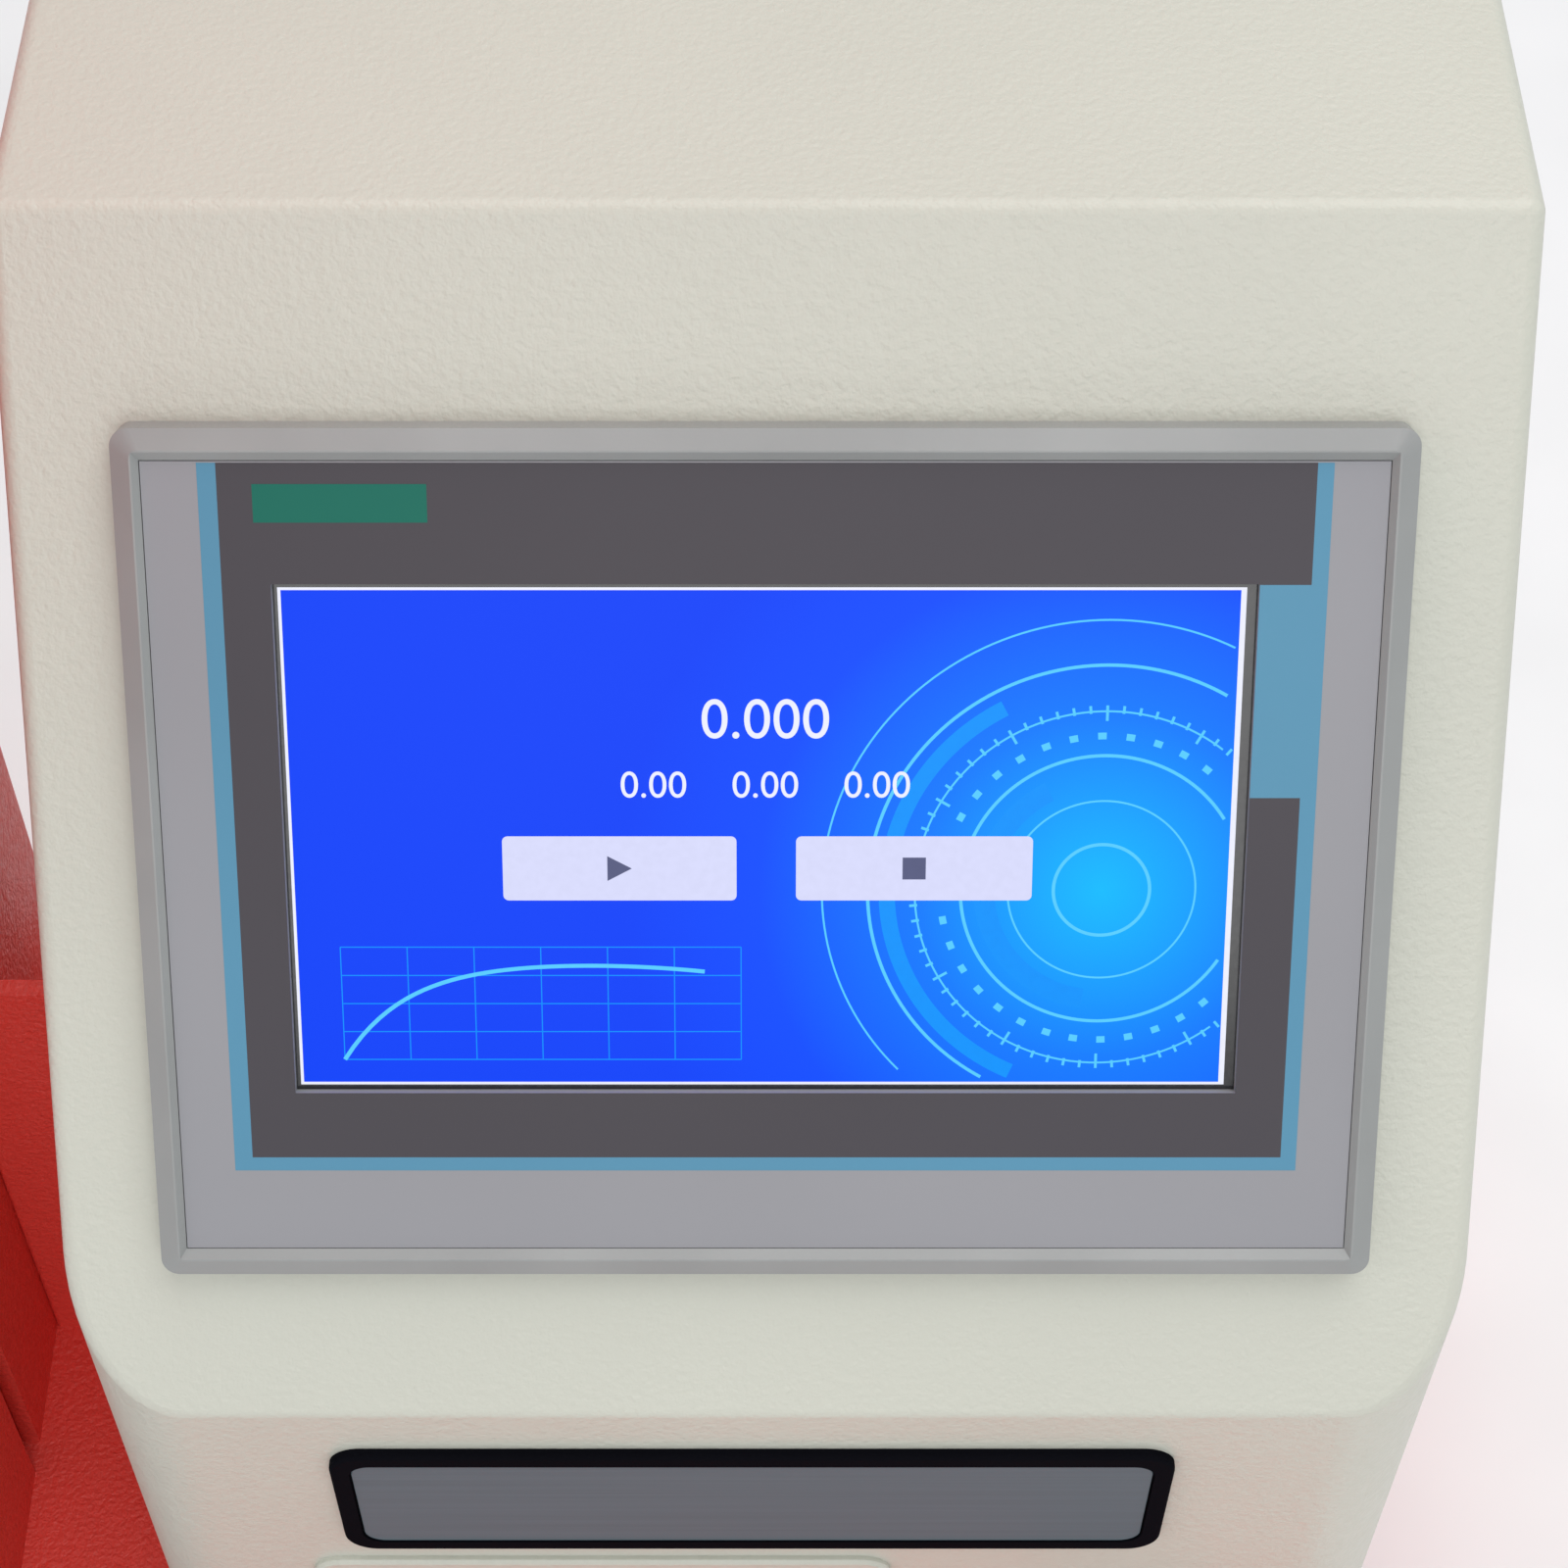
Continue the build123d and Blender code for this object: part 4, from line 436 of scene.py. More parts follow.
def make_materials(settings, screen):
    """Makes every finish from the colours and scales that the user may change."""
    cream, red, peel = tuple(settings.cream), tuple(settings.red), settings.peel
    materials.update({
        "cream": powder_coat("cream_powder_coat", cream, peel, 0.00019, specks=True),
        "red": powder_coat("red_powder_coat", red, peel * 1.1, 0.00045),
        "arm": powder_coat("cast_arm_coat", cream, peel * 1.3, 0.00022, specks=True),
        "silver": silver_film("silver_name_plate", (0.110, 0.170, 0.195)),
        "rubber": rubber("black_rubber", (0.014, 0.014, 0.014)),
        "film": printed_film("film_ground", tuple(settings.overlay)),
        "field": printed_film("film_field", tuple(settings.field)),
        "band": printed_film("film_band", tuple(settings.band)),
        "green_block": printed_film("film_green", (0.004, 0.150, 0.105)),
        "mark": printed_film("white_mark", (0.80, 0.80, 0.79)),
        "yellow": printed_film("yellow_disc", (0.72, 0.45, 0.02)),
        "floor": printed_film("pale_floor", (0.92, 0.92, 0.92), 0.7),
        "board": circuit("circuit_board"),
        "ground_light": lit_ground("screen_ground", screen.glow),
    })
    materials.update({finish: worked_metal(*values) for finish, values in METALS.items()})
    materials.update({finish: moulding(*values) for finish, values in MOULDINGS.items()})
    materials.update({finish: lit(*values, screen.glow) for finish, values in LIGHTS_OF_SCREEN.items()})


# Which finish each node of the frame wears
NODE_FINISHES = {
    "cream": ("console_shell", "console_rear_panel"),
    "red": ("base_frame", "tie_plate", "column_profile"),
    "arm": ("crosshead_arm",),
    "cover": ("column_front_cover",),
    "machined": ("column_end_blocks", "crosshead_yoke", "trip_finger"),
    "ground": ("guide_rails", "limit_rod", "ball_screw"),
    "turned": (
        "motor_shaft", "upper_stop_collar", "lower_stop_collar", "upper_clamp_screw", "lower_clamp_screw",
    ),
    "bearing": ("screw_bearings", "rail_blocks", "ball_nut"),
    "plated": (
        "upper_adapter", "lower_adapter", "upper_grip_body", "lower_grip_body", "upper_grip_pin",
        "lower_grip_pin", "signal_sockets",
    ),
    "table": ("table_plate",),
    "jaw": ("upper_fixed_jaw", "upper_moving_jaw", "lower_fixed_jaw", "lower_moving_jaw"),
    "cell": ("load_cell",),
    "zinc": ("base_bottom_plate", "foot_screws", "load_cell_bolt"),
    "black": ("column_cap", "fan_frame", "fan_rotor", "mains_inlet", "estop_stem"),
    "gloss_black": ("upper_knob", "lower_knob", "power_rocker"),
    "plate_frame": ("name_frame",),
    "motor": ("servo_motor",),
    "drive": ("servo_drive",),
    "rubber": ("rubber_feet", "timing_belt"),
    "bezel": ("hmi_bezel",),
    "case": ("hmi_rear_case",),
    "film": ("hmi_overlay",),
    "green": ("up_key", "down_key"),
    "grey_key": ("stop_key",),
    "stop": ("estop_head",),
    "ring": ("control_rings",),
    "board": ("control_board",),
    "ground_light": ("hmi_display",),
}


def wear(piece, finish):
    """Gives a piece that one finish."""
    piece.data.materials.clear()
    piece.data.materials.append(materials[finish])


# Mesh helpers


def placed(name, mesh, body, finish=None):
    """Puts a mesh in the scene as a piece, with its finish and body."""
    piece = bpy.data.objects.new(name, mesh)
    bpy.context.scene.collection.objects.link(piece)
    if finish:
        wear(piece, finish)
    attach(piece, body)
    return piece


def smoothed(mesh, degrees):
    """Shades a mesh smooth, apart from edges sharper than an angle."""
    mesh.shade_smooth()
    mesh.set_sharp_from_angle(angle=math.radians(degrees))


def finished(name, builder, finish, body, smooth=None):
    """Makes the object of a bmesh at the world's origin."""
    bmesh.ops.recalc_face_normals(builder, faces=builder.faces)
    mesh = bpy.data.meshes.new(name)
    builder.to_mesh(mesh)
    builder.free()
    if smooth is not None:
        smoothed(mesh, smooth)
    return placed(name, mesh, body, finish)


def add_outline(builder, face, outline, low, high):
    """Adds a flat outline, as millimetres on a face, as a closed solid between two heights."""
    rings = [[builder.verts.new(face.at(u, v, n)) for u, v in outline] for n in (low, high)]
    builder.faces.new(rings[0])
    builder.faces.new(rings[1])
    count = len(outline)
    for index in range(count):
        following = (index + 1) % count
        builder.faces.new((rings[0][index], rings[0][following], rings[1][following], rings[1][index]))


def box_outline(left, right, bottom, top, radius=0.0, steps=5):
    """A rectangle, with its corners rounded where a radius is given."""
    if not radius:
        return [(left, bottom), (right, bottom), (right, top), (left, top)]
    points = []
    corners = ((right, top, 0), (left, top, 90), (left, bottom, 180), (right, bottom, 270))
    for u, v, start in corners:
        inner_u = u - radius if u == right else u + radius
        inner_v = v - radius if v == top else v + radius
        for step in range(steps + 1):
            angle = math.radians(start + 90 * step / steps)
            points.append((inner_u + radius * math.cos(angle), inner_v + radius * math.sin(angle)))
    return points


def arc_outline(u, v, inner, outer, start, end, step=4.0):
    """A stretch of a ring, from one angle to another in degrees."""
    count = max(2, math.ceil((end - start) / step))
    angles = [math.radians(start + (end - start) * index / count) for index in range(count + 1)]
    far = [(u + outer * math.cos(a), v + outer * math.sin(a)) for a in angles]
    near = [(u + inner * math.cos(a), v + inner * math.sin(a)) for a in reversed(angles)]
    return far + near


def disc_outline(u, v, radius, sides=32):
    """A circle of even sides, or places on a ring."""
    angles = [math.tau * side / sides for side in range(sides)]
    return [(u + radius * math.cos(angle), v + radius * math.sin(angle)) for angle in angles]


def line_outline(start, end, width):
    """A straight stroke between two points."""
    along = (Vector(end) - Vector(start)).normalized()
    side = Vector((-along.y, along.x)) * width / 2
    return [tuple(Vector(p) + side * way) for p, way in ((start, 1), (start, -1), (end, -1), (end, 1))]


def flat_pieces(name, face, outlines, low, high, finish, body="root"):
    """One object from many flat outlines."""
    builder = bmesh.new()
    for outline in outlines:
        add_outline(builder, face, outline, low, high)
    return finished(name, builder, finish, body)


# Geometry Nodes trees for what repeats or follows a rule


class Tree:
    """A geometry node tree under construction, with named inputs for its sizes."""

    def __init__(self, name, **sizes):
        self.group = bpy.data.node_groups.new(name, "GeometryNodeTree")
        face = self.group.interface
        face.new_socket("Geometry", in_out="INPUT", socket_type="NodeSocketGeometry")
        for label, value in sizes.items():
            kind = {int: "NodeSocketInt", float: "NodeSocketFloat", tuple: "NodeSocketVector"}[type(value)]
            socket = face.new_socket(label, in_out="INPUT", socket_type=kind)
            socket.default_value = value
        face.new_socket("Geometry", in_out="OUTPUT", socket_type="NodeSocketGeometry")
        self.source = self.group.nodes.new("NodeGroupInput").outputs

    def add(self, kind, sockets, **settings):
        """Adds a node; its sockets take a value or the output of another node."""
        node = self.group.nodes.new(kind)
        for key, value in settings.items():
            setattr(node, key, value)
        for name, value in sockets.items():
            if isinstance(value, bpy.types.NodeSocket):
                self.group.links.new(value, node.inputs[name])
            else:
                node.inputs[name].default_value = value
        return node.outputs

    def math(self, operation, first, second):
        """A math node on values or outputs."""
        return self.add("ShaderNodeMath", {0: first, 1: second}, operation=operation)[0]

    def times(self, first, second):
        """The product of two values or outputs."""
        return self.math("MULTIPLY", first, second)

    def vector(self, **axes):
        """A vector from values or outputs on its axes."""
        return self.add("ShaderNodeCombineXYZ", axes)[0]

    def moved(self, geometry, by):
        """The geometry, moved by a vector."""
        return self.add("GeometryNodeTransform", {"Geometry": geometry, "Translation": by})["Geometry"]

    def cylinder(self, sides, radius, depth):
        """A closed cylinder, upright round the origin."""
        sizes = {"Vertices": sides, "Radius": radius, "Depth": depth}
        return self.add("GeometryNodeMeshCylinder", sizes, fill_type="NGON")

    def circle(self, sides, radius):
        """A circle to sweep or to repeat."""
        sizes = {"Resolution": sides, "Radius": radius}
        return self.add("GeometryNodeCurvePrimitiveCircle", sizes, mode="RADIUS")["Curve"]

    def tube(self, curve, profile):
        """A solid swept along a curve."""
        sockets = {"Curve": curve, "Profile Curve": profile, "Fill Caps": True}
        return self.add("GeometryNodeCurveToMesh", sockets)["Mesh"]

    def repeated(self, points, piece, **turn_or_scale):
        """The piece on each point."""
        sockets = {"Points": points, "Instance": piece, **turn_or_scale}
        return self.add("GeometryNodeInstanceOnPoints", sockets)["Instances"]

    def join(self, *parts):
        """All the parts in one geometry."""
        node = self.group.nodes.new("GeometryNodeJoinGeometry")
        for part in parts:
            self.group.links.new(part, node.inputs[0])
        return node.outputs[0]

    def close(self, geometry, finish):
        """Ends the tree in real meshes with their material."""
        real = self.add("GeometryNodeRealizeInstances", {"Geometry": geometry})[0]
        dressed = self.add("GeometryNodeSetMaterial", {"Geometry": real, "Material": materials[finish]})[0]
        result = self.group.nodes.new("NodeGroupOutput")
        self.group.links.new(dressed, result.inputs["Geometry"])
        return self.group


def grown(name, points, group, body, slot, place=None, smooth=35, **sizes):
    """Runs a tree over loose points, and keeps the outcome as a plain mesh."""
    seed = bpy.data.meshes.new(name + "_points")
    seed.from_pydata([tuple(point) for point in points], [], [])
    source = bpy.data.objects.new(name + "_source", seed)
    bpy.context.scene.collection.objects.link(source)
    modifier = source.modifiers.new("tree", "NODES")
    modifier.node_group = group
    for item in group.interface.items_tree:
        if item.item_type == "SOCKET" and item.in_out == "INPUT" and item.name in sizes:
            modifier[item.identifier] = sizes[item.name]
    graph = bpy.context.evaluated_depsgraph_get()
    mesh = bpy.data.meshes.new_from_object(source.evaluated_get(graph))
    source.modifiers.remove(modifier)
    bpy.data.objects.remove(source)
    if not mesh.polygons:
        raise RuntimeError("the tree for " + name + " made no faces")
    if place is not None:
        mesh.transform(place)
    smoothed(mesh, smooth)
    return placed(name, mesh, body)


HEAD_SIDES, ROD_SIDES, WIRE_SIDES, RING_SIDES = 28, 40, 10, 64
RIM_RISE, RIM_TAPER = 0.22, 0.84   # rounded rim, in heights and widths of the head
HEXAGON, HEXAGON_PLACE = 0.5, 0.72   # recess, in radii and heights of the head
TURN_POINTS = 24   # in one turn of a thread
LEGS, LEG_DEPTH = 4, 0.0008   # of the fan's guard


def screw_tree(name, finish):
    """Screw heads with a rounded rim and a hexagon recess, one on each point."""
    tree = Tree(name, Radius=0.003, Height=0.0018, Recess=0.0012, Turn=(0.0, 0.0, 0.0), Seed=3)
    size = tree.source
    disc = tree.cylinder(HEAD_SIDES, size["Radius"], size["Height"])
    rim = tree.add("GeometryNodeExtrudeMesh", {
        "Mesh": disc["Mesh"], "Selection": disc["Top"], "Offset Scale": tree.times(size["Height"], RIM_RISE),
        "Individual": False,
    })
    domed = tree.add("GeometryNodeScaleElements", {
        "Geometry": rim["Mesh"], "Selection": rim["Top"], "Scale": RIM_TAPER,
    })["Geometry"]
    hexagon = tree.cylinder(6, tree.times(size["Radius"], HEXAGON), tree.times(size["Recess"], 2.0))["Mesh"]
    drill = tree.moved(hexagon, tree.vector(Z=tree.times(size["Height"], HEXAGON_PLACE)))
    solids = {"Mesh 1": domed, "Mesh 2": drill}
    head = tree.add("GeometryNodeMeshBoolean", solids, operation="DIFFERENCE")["Mesh"]
    seated = tree.moved(head, tree.vector(Z=tree.times(size["Height"], 0.5)))
    spin = tree.add("FunctionNodeRandomValue", {"Seed": size["Seed"]}, data_type="FLOAT")[1]
    angle = tree.add("FunctionNodeAxisAngleToRotation", {"Angle": tree.times(spin, math.tau)})[0]
    facing = tree.add("FunctionNodeEulerToRotation", {"Euler": size["Turn"]})[0]
    turns = {"Rotation": facing, "Rotate By": angle}
    turned = tree.add("FunctionNodeRotateRotation", turns, rotation_space="LOCAL")[0]
    return tree.close(tree.repeated(size["Geometry"], seated, Rotation=turned), finish)


def thread_tree(name, finish):
    """A threaded rod that rises from the origin: a core with a ridge wound round it."""
    tree = Tree(name, Radius=0.006, Depth=0.0006, Length=0.05, Pitch=0.00175)
    size = tree.source
    core = tree.math("SUBTRACT", size["Radius"], size["Depth"])
    rod = tree.cylinder(ROD_SIDES, core, size["Length"])["Mesh"]
    raised = tree.moved(rod, tree.vector(Z=tree.times(size["Length"], 0.5)))
    run = tree.math("SUBTRACT", size["Length"], size["Pitch"])
    helix = tree.add("GeometryNodeCurveSpiral", {
        "Resolution": TURN_POINTS, "Rotations": tree.math("DIVIDE", run, size["Pitch"]),
        "Start Radius": core, "End Radius": core, "Height": run,
    })["Curve"]
    upright = tree.add("GeometryNodeSetCurveNormal", {"Curve": helix}, mode="Z_UP")["Curve"]
    ridge = tree.tube(upright, tree.circle(4, size["Depth"]))
    wound = tree.moved(ridge, tree.vector(Z=tree.times(size["Pitch"], 0.5)))
    return tree.close(tree.join(raised, wound), finish)


def guard_tree(name, finish):
    """A fan's wire guard: rings on legs."""
    tree = Tree(name, Rings=4, Radius=0.026, Reach=0.0354, Wire=0.0008)
    size = tree.source
    index = tree.add("GeometryNodeInputIndex", {})[0]
    ring_points, leg_points = (
        tree.add("GeometryNodeMeshLine", {"Count": count, "Offset": (0.0, 0.0, 0.0)})["Mesh"]
        for count in (size["Rings"], LEGS)
    )
    step = tree.math("DIVIDE", tree.times(tree.math("ADD", index, 1.0), size["Radius"]), size["Rings"])
    rings = tree.repeated(ring_points, tree.circle(RING_SIDES, 1.0), Scale=tree.vector(X=step, Y=step, Z=1.0))
    near = tree.vector(X=tree.math("DIVIDE", size["Radius"], size["Rings"]))
    ends = {"Start": near, "End": tree.vector(X=size["Reach"])}
    leg = tree.add("GeometryNodeCurvePrimitiveLine", ends, mode="POINTS")["Curve"]
    quarter = tree.times(tree.math("ADD", index, 0.5), math.tau / LEGS)
    turn = tree.add("FunctionNodeAxisAngleToRotation", {"Angle": quarter})[0]
    legs = tree.repeated(leg_points, leg, Rotation=turn)
    wire = tree.circle(WIRE_SIDES, size["Wire"])
    swept = []
    for wires, depth in ((rings, 0.0), (legs, LEG_DEPTH)):
        real = tree.add("GeometryNodeRealizeInstances", {"Geometry": wires})[0]
        swept.append(tree.moved(tree.tube(real, wire), (0.0, 0.0, -depth)))
    return tree.close(tree.join(*swept), finish)


def screw_heads(name, group, face, places, radius, height):
    """Screw heads on a face, at places in millimetres."""
    grown(
        name, [face.at(*place) for place in places], group, "root", "plated_steel",
        Radius=radius, Height=height, Recess=height * 0.7, Turn=face.matrix().to_euler()[:],
    )


# Operators, one for each piece or group of like pieces


class DressFrame(bpy.types.Operator):
    """Gives every piece of the frame its finish."""

    bl_idname = "tester.dress_frame"
    bl_label = "Finishes of the frame"

    def execute(self, context):
        make_materials(context.scene.tester_finish, context.scene.tester_screen)
        for finish, names in NODE_FINISHES.items():
            for name in names:
                wear(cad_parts[name], finish)
        missed = set(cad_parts) - {name for names in NODE_FINISHES.values() for name in names}
        if missed:
            raise RuntimeError("no finish for " + ", ".join(sorted(missed)))
        return {"FINISHED"}


# Film and screen, in millimetres from the middle of the touch panel
FIELD_LEFT, FIELD_RIGHT, FIELD_TOP, FIELD_BOTTOM = -86.0, 86.4, 67.6, -51.1
BAND_LEFT, BAND_RIGHT, BAND_BOTTOM = -89.0, 89.0, -53.5
WINDOW_U, WINDOW_TOP, WINDOW_BOTTOM = 78.25, 48.0, -39.4
TAB_TOP, TAB_BOTTOM = 47.9, 12.4
GREEN_BLOCK = (-80.5, -53.1, 58.0, 64.2)   # left, right, bottom, top
INK = 0.03


class PrintFilm(bpy.types.Operator):
    """Prints the dark field, its bands and a plain block on the touch panel's film."""

    bl_idname = "tester.print_film"
    bl_label = "Printing on the film"

    def execute(self, context):
        field = [
            box_outline(FIELD_LEFT, -WINDOW_U, FIELD_BOTTOM, FIELD_TOP),
            box_outline(WINDOW_U, FIELD_RIGHT, FIELD_BOTTOM, TAB_BOTTOM),
            box_outline(WINDOW_U, FIELD_RIGHT, TAB_TOP, FIELD_TOP),
            box_outline(-WINDOW_U, WINDOW_U, WINDOW_TOP, FIELD_TOP),
            box_outline(-WINDOW_U, WINDOW_U, FIELD_BOTTOM, WINDOW_BOTTOM),
        ]
        band = [
            box_outline(BAND_LEFT, FIELD_LEFT, BAND_BOTTOM, FIELD_TOP),
            box_outline(FIELD_RIGHT, BAND_RIGHT, BAND_BOTTOM, FIELD_TOP),
            box_outline(FIELD_LEFT, FIELD_RIGHT, BAND_BOTTOM, FIELD_BOTTOM),
            box_outline(WINDOW_U, FIELD_RIGHT, TAB_BOTTOM, TAB_TOP),
        ]
        block = [box_outline(*GREEN_BLOCK)]
        top = OVERLAY_FACE + INK
        flat_pieces("film_field", touch_panel, field, OVERLAY_FACE, top, "field")
        flat_pieces("film_bands", touch_panel, band, OVERLAY_FACE, top, "band")
        flat_pieces("film_block", touch_panel, block, top, top + INK, "green_block")
        return {"FINISHED"}


SCREEN_U = -0.5   # lit area's middle
SCREEN_MARGIN = 1.0   # kept free of marks
WIDE_RING, FINE_RING, RING_PART = 0.55, 0.32, 4   # widths, and the degrees of one part of a ring
TICK_REACH, LONG_TICK, SHORT_TICK, TICK_WIDTH = 4.15, 2.6, 1.3, 0.45   # reach in ring steps
LONG_TICK_STEP = 6   # one long tick in so many
SWEEPS, SWEEP_START, SWEEP_END = ((4.45, 4.8), (2.3, 2.75)), 118, 262   # in ring steps, and degrees
DOTS, DOT_STEP, DOT_PART = (3.4, 3.55), 10, 3
CHART_LEFT, CHART_LOW, ROW, ROWS, COLUMN, COLUMNS = -70, -34, 5, 4, 11, 6
CURVE_WIDTH, CURVE_HEIGHT, CURVE_PARTS, CURVE_BEND, CURVE_SAG = 60, 17.5, 40, 5.5, 0.1
GRID_LINE, CURVE_LINE = 0.18, 0.7
LAYER = 0.01   # one layer of the screen's marks over another
EDGE_LEFT, EDGE_RIGHT, EDGE_LEVEL = 0.5, 0.9, 0.45   # widths of the screen's white edge
BUTTONS, BUTTON_LOW, BUTTON_HIGH, BUTTON_CORNER = ((-42.9, -4.7), (5.0, 43.6)), -5.8, 5.3, 0.9
PLAY_MARK = [(-25.8, -2.4), (-25.8, 1.9), (-21.8, -0.25)]
STOP_MARK = (22.4, 26.2, -2.15, 1.65)
LARGE_NUMBER, SMALL_NUMBERS = (24.9, 9.5), (13.9, 6.4)   # height on the panel, and size


def surround(outer, inner):
    """The four boxes between two boxes, each of them left, right, bottom and top."""
    left, right, bottom, top = outer
    near, far, low, high = inner
    return [
        box_outline(left, near, bottom, top), box_outline(far, right, bottom, top),
        box_outline(near, far, high, top), box_outline(near, far, bottom, low),
    ]


def kept(screen, outlines):
    """The outlines that lie wholly on the lit screen."""
    reach_u, reach_v = screen.width / 2 - SCREEN_MARGIN, screen.height / 2 - SCREEN_MARGIN
    return [
        outline for outline in outlines
        if all(abs(u - SCREEN_U) < reach_u and abs(v - screen.rise) < reach_v for u, v in outline)
    ]


def dial_outlines(screen):
    """Fine rings, marks and dots of the screen's plain dial, and its soft bands."""
    def ring_part(low, high, start, degrees):
        return arc_outline(DIAL_U, DIAL_V, low, high, start, start + degrees)

    fine, soft = [], []
    step = screen.ring_step
    for ring in range(1, screen.rings + 1):
        outer = ring * step + (WIDE_RING if ring % 2 else FINE_RING)
        fine += [ring_part(ring * step, outer, start, RING_PART) for start in range(0, 360, RING_PART)]
    centre = Vector((DIAL_U, DIAL_V))
    for tick in range(screen.ticks):
        angle = math.tau * tick / screen.ticks
        way = Vector((math.cos(angle), math.sin(angle)))
        far = TICK_REACH * step
        near = far - (LONG_TICK if tick % LONG_TICK_STEP == 0 else SHORT_TICK)
        fine.append(line_outline(centre + way * near, centre + way * far, TICK_WIDTH))
    for start in range(SWEEP_START, SWEEP_END, RING_PART):
        soft += [ring_part(low * step, high * step, start, RING_PART) for low, high in SWEEPS]
    for start in range(0, 360, DOT_STEP):
        fine.append(ring_part(DOTS[0] * step, DOTS[1] * step, start, DOT_PART))
    return kept(screen, fine), kept(screen, soft)


def chart_outlines(screen):
    """A plain grid and one rising curve, low on the left of the screen."""
    right, top = CHART_LEFT + COLUMN * COLUMNS, CHART_LOW + ROW * ROWS
    grid = []
    for v in range(CHART_LOW, top + 1, ROW):
        grid.append(line_outline((CHART_LEFT, v), (right, v), GRID_LINE))
    for u in range(CHART_LEFT, right + 1, COLUMN):
        grid.append(line_outline((u, CHART_LOW), (u, top), GRID_LINE))
    points = []
    for part in range(CURVE_PARTS + 1):
        share = part / CURVE_PARTS
        rise = (1 - math.exp(-CURVE_BEND * share)) * (1 - CURVE_SAG * share ** 4)
        points.append((CHART_LEFT + CURVE_WIDTH * share, CHART_LOW + CURVE_HEIGHT * rise))
    curve = [line_outline(start, end, CURVE_LINE) for start, end in zip(points, points[1:])]
    return kept(screen, grid), kept(screen, curve)


def screen_layer(name, outlines, low, high, finish):
    """A layer of the screen's marks, between two heights counted in layers."""
    low, high = GLASS_FACE + low * LAYER, GLASS_FACE + high * LAYER
    flat_pieces(name, touch_panel, outlines, low, high, finish)


def numerals(name, text, rise, size):
    """Plain lit numerals on the screen, centred at a height on the panel."""
    curve = bpy.data.curves.new(name, "FONT")
    curve.body = text
    curve.size = size * MM
    curve.align_x = "CENTER"
    curve.align_y = "CENTER"
    curve.extrude = LAYER * MM
    source = bpy.data.objects.new(name + "_curve", curve)
    bpy.context.scene.collection.objects.link(source)
    bpy.context.view_layer.update()
    mesh = bpy.data.meshes.new_from_object(source)
    bpy.data.objects.remove(source)
    mesh.transform(touch_panel.matrix(0.0, rise, GLASS_FACE + 4 * LAYER))
    placed(name, mesh, "root", "white_light")


class LightScreen(bpy.types.Operator):
    """Draws a plain gauge, chart, numerals and two buttons on the lit screen."""

    bl_idname = "tester.light_screen"
    bl_label = "Lit screen"

    def execute(self, context):
        screen = context.scene.tester_screen
        left, right = SCREEN_U - screen.width / 2, SCREEN_U + screen.width / 2
        low, high = screen.rise - screen.height / 2, screen.rise + screen.height / 2
        window = (-WINDOW_U, WINDOW_U, WINDOW_BOTTOM, WINDOW_TOP)
        lit_area = (left, right, low, high)
        inside = (left + EDGE_LEFT, right - EDGE_RIGHT, low + EDGE_LEVEL, high - EDGE_LEVEL)
        screen_layer("screen_margin", surround(window, lit_area), 0, 2, "gloss_black")
        screen_layer("screen_edge", surround(lit_area, inside), 0, 3, "white_light")
        fine, soft = dial_outlines(screen)
        screen_layer("screen_dial_bands", soft, 0, 1, "soft_light")
        screen_layer("screen_dial_lines", fine, 1, 2, "line_light")
        grid, curve = chart_outlines(screen)
        screen_layer("screen_grid", grid, 0, 1, "soft_light")
        screen_layer("screen_curve", curve, 1, 2, "line_light")
        buttons = [box_outline(*sides, BUTTON_LOW, BUTTON_HIGH, BUTTON_CORNER) for sides in BUTTONS]
        screen_layer("screen_buttons", buttons, 2, 4, "button_light")
        screen_layer("screen_button_marks", [PLAY_MARK, box_outline(*STOP_MARK)], 4, 5, "button_mark")
        numerals("screen_large_number", "0.000", *LARGE_NUMBER)
        numerals("screen_small_number", "0.00    0.00    0.00", *SMALL_NUMBERS)
        return {"FINISHED"}


PLATE_U, PLATE_V, PLATE_CORNER = 71.9, 16.1, 3.8   # half width, half height and corner radius
PLATE_RECESS, PLATE_THICKNESS, PLATE_RIM = 0.8, 0.45, 0.12


class NamePlate(bpy.types.Operator):
    """Lays a blank silver plate in the frame under the leaning panel."""

    bl_idname = "tester.name_plate"
    bl_label = "Blank silver plate"

    def execute(self, context):
        outline = box_outline(-PLATE_U, PLATE_U, -PLATE_V, PLATE_V, PLATE_CORNER, 8)
        builder = bmesh.new()
        add_outline(builder, front_of("name_frame"), outline, -PLATE_RECESS, -PLATE_RECESS + PLATE_THICKNESS)
        piece = finished("name_plate", builder, "silver", "root", 30)
        bevel = piece.modifiers.new("rim", "BEVEL")
        bevel.width = PLATE_RIM * MM
        bevel.segments = 2
        return {"FINISHED"}


UP_ARROW = [(-4.2, -3.0), (4.2, -3.0), (0.0, 4.2)]
DOWN_ARROW = [(-4.2, 3.0), (0.0, -4.2), (4.2, 3.0)]
SQUARE = box_outline(-3.2, 3.2, -3.2, 3.2)


class KeyMarks(bpy.types.Operator):
    """Prints an arrow or a square on each key."""

    bl_idname = "tester.key_marks"
    bl_label = "Marks of the keys"

    def execute(self, context):
        for node, body, slot, outline in (
            ("up_key", "up_button", "green_key", UP_ARROW),
            ("stop_key", "stop_button", "grey_key", SQUARE),
            ("down_key", "down_button", "green_key", DOWN_ARROW),
        ):
            flat_pieces(node + "_mark", front_of(node), [outline], 0, INK, "mark", body)
        return {"FINISHED"}


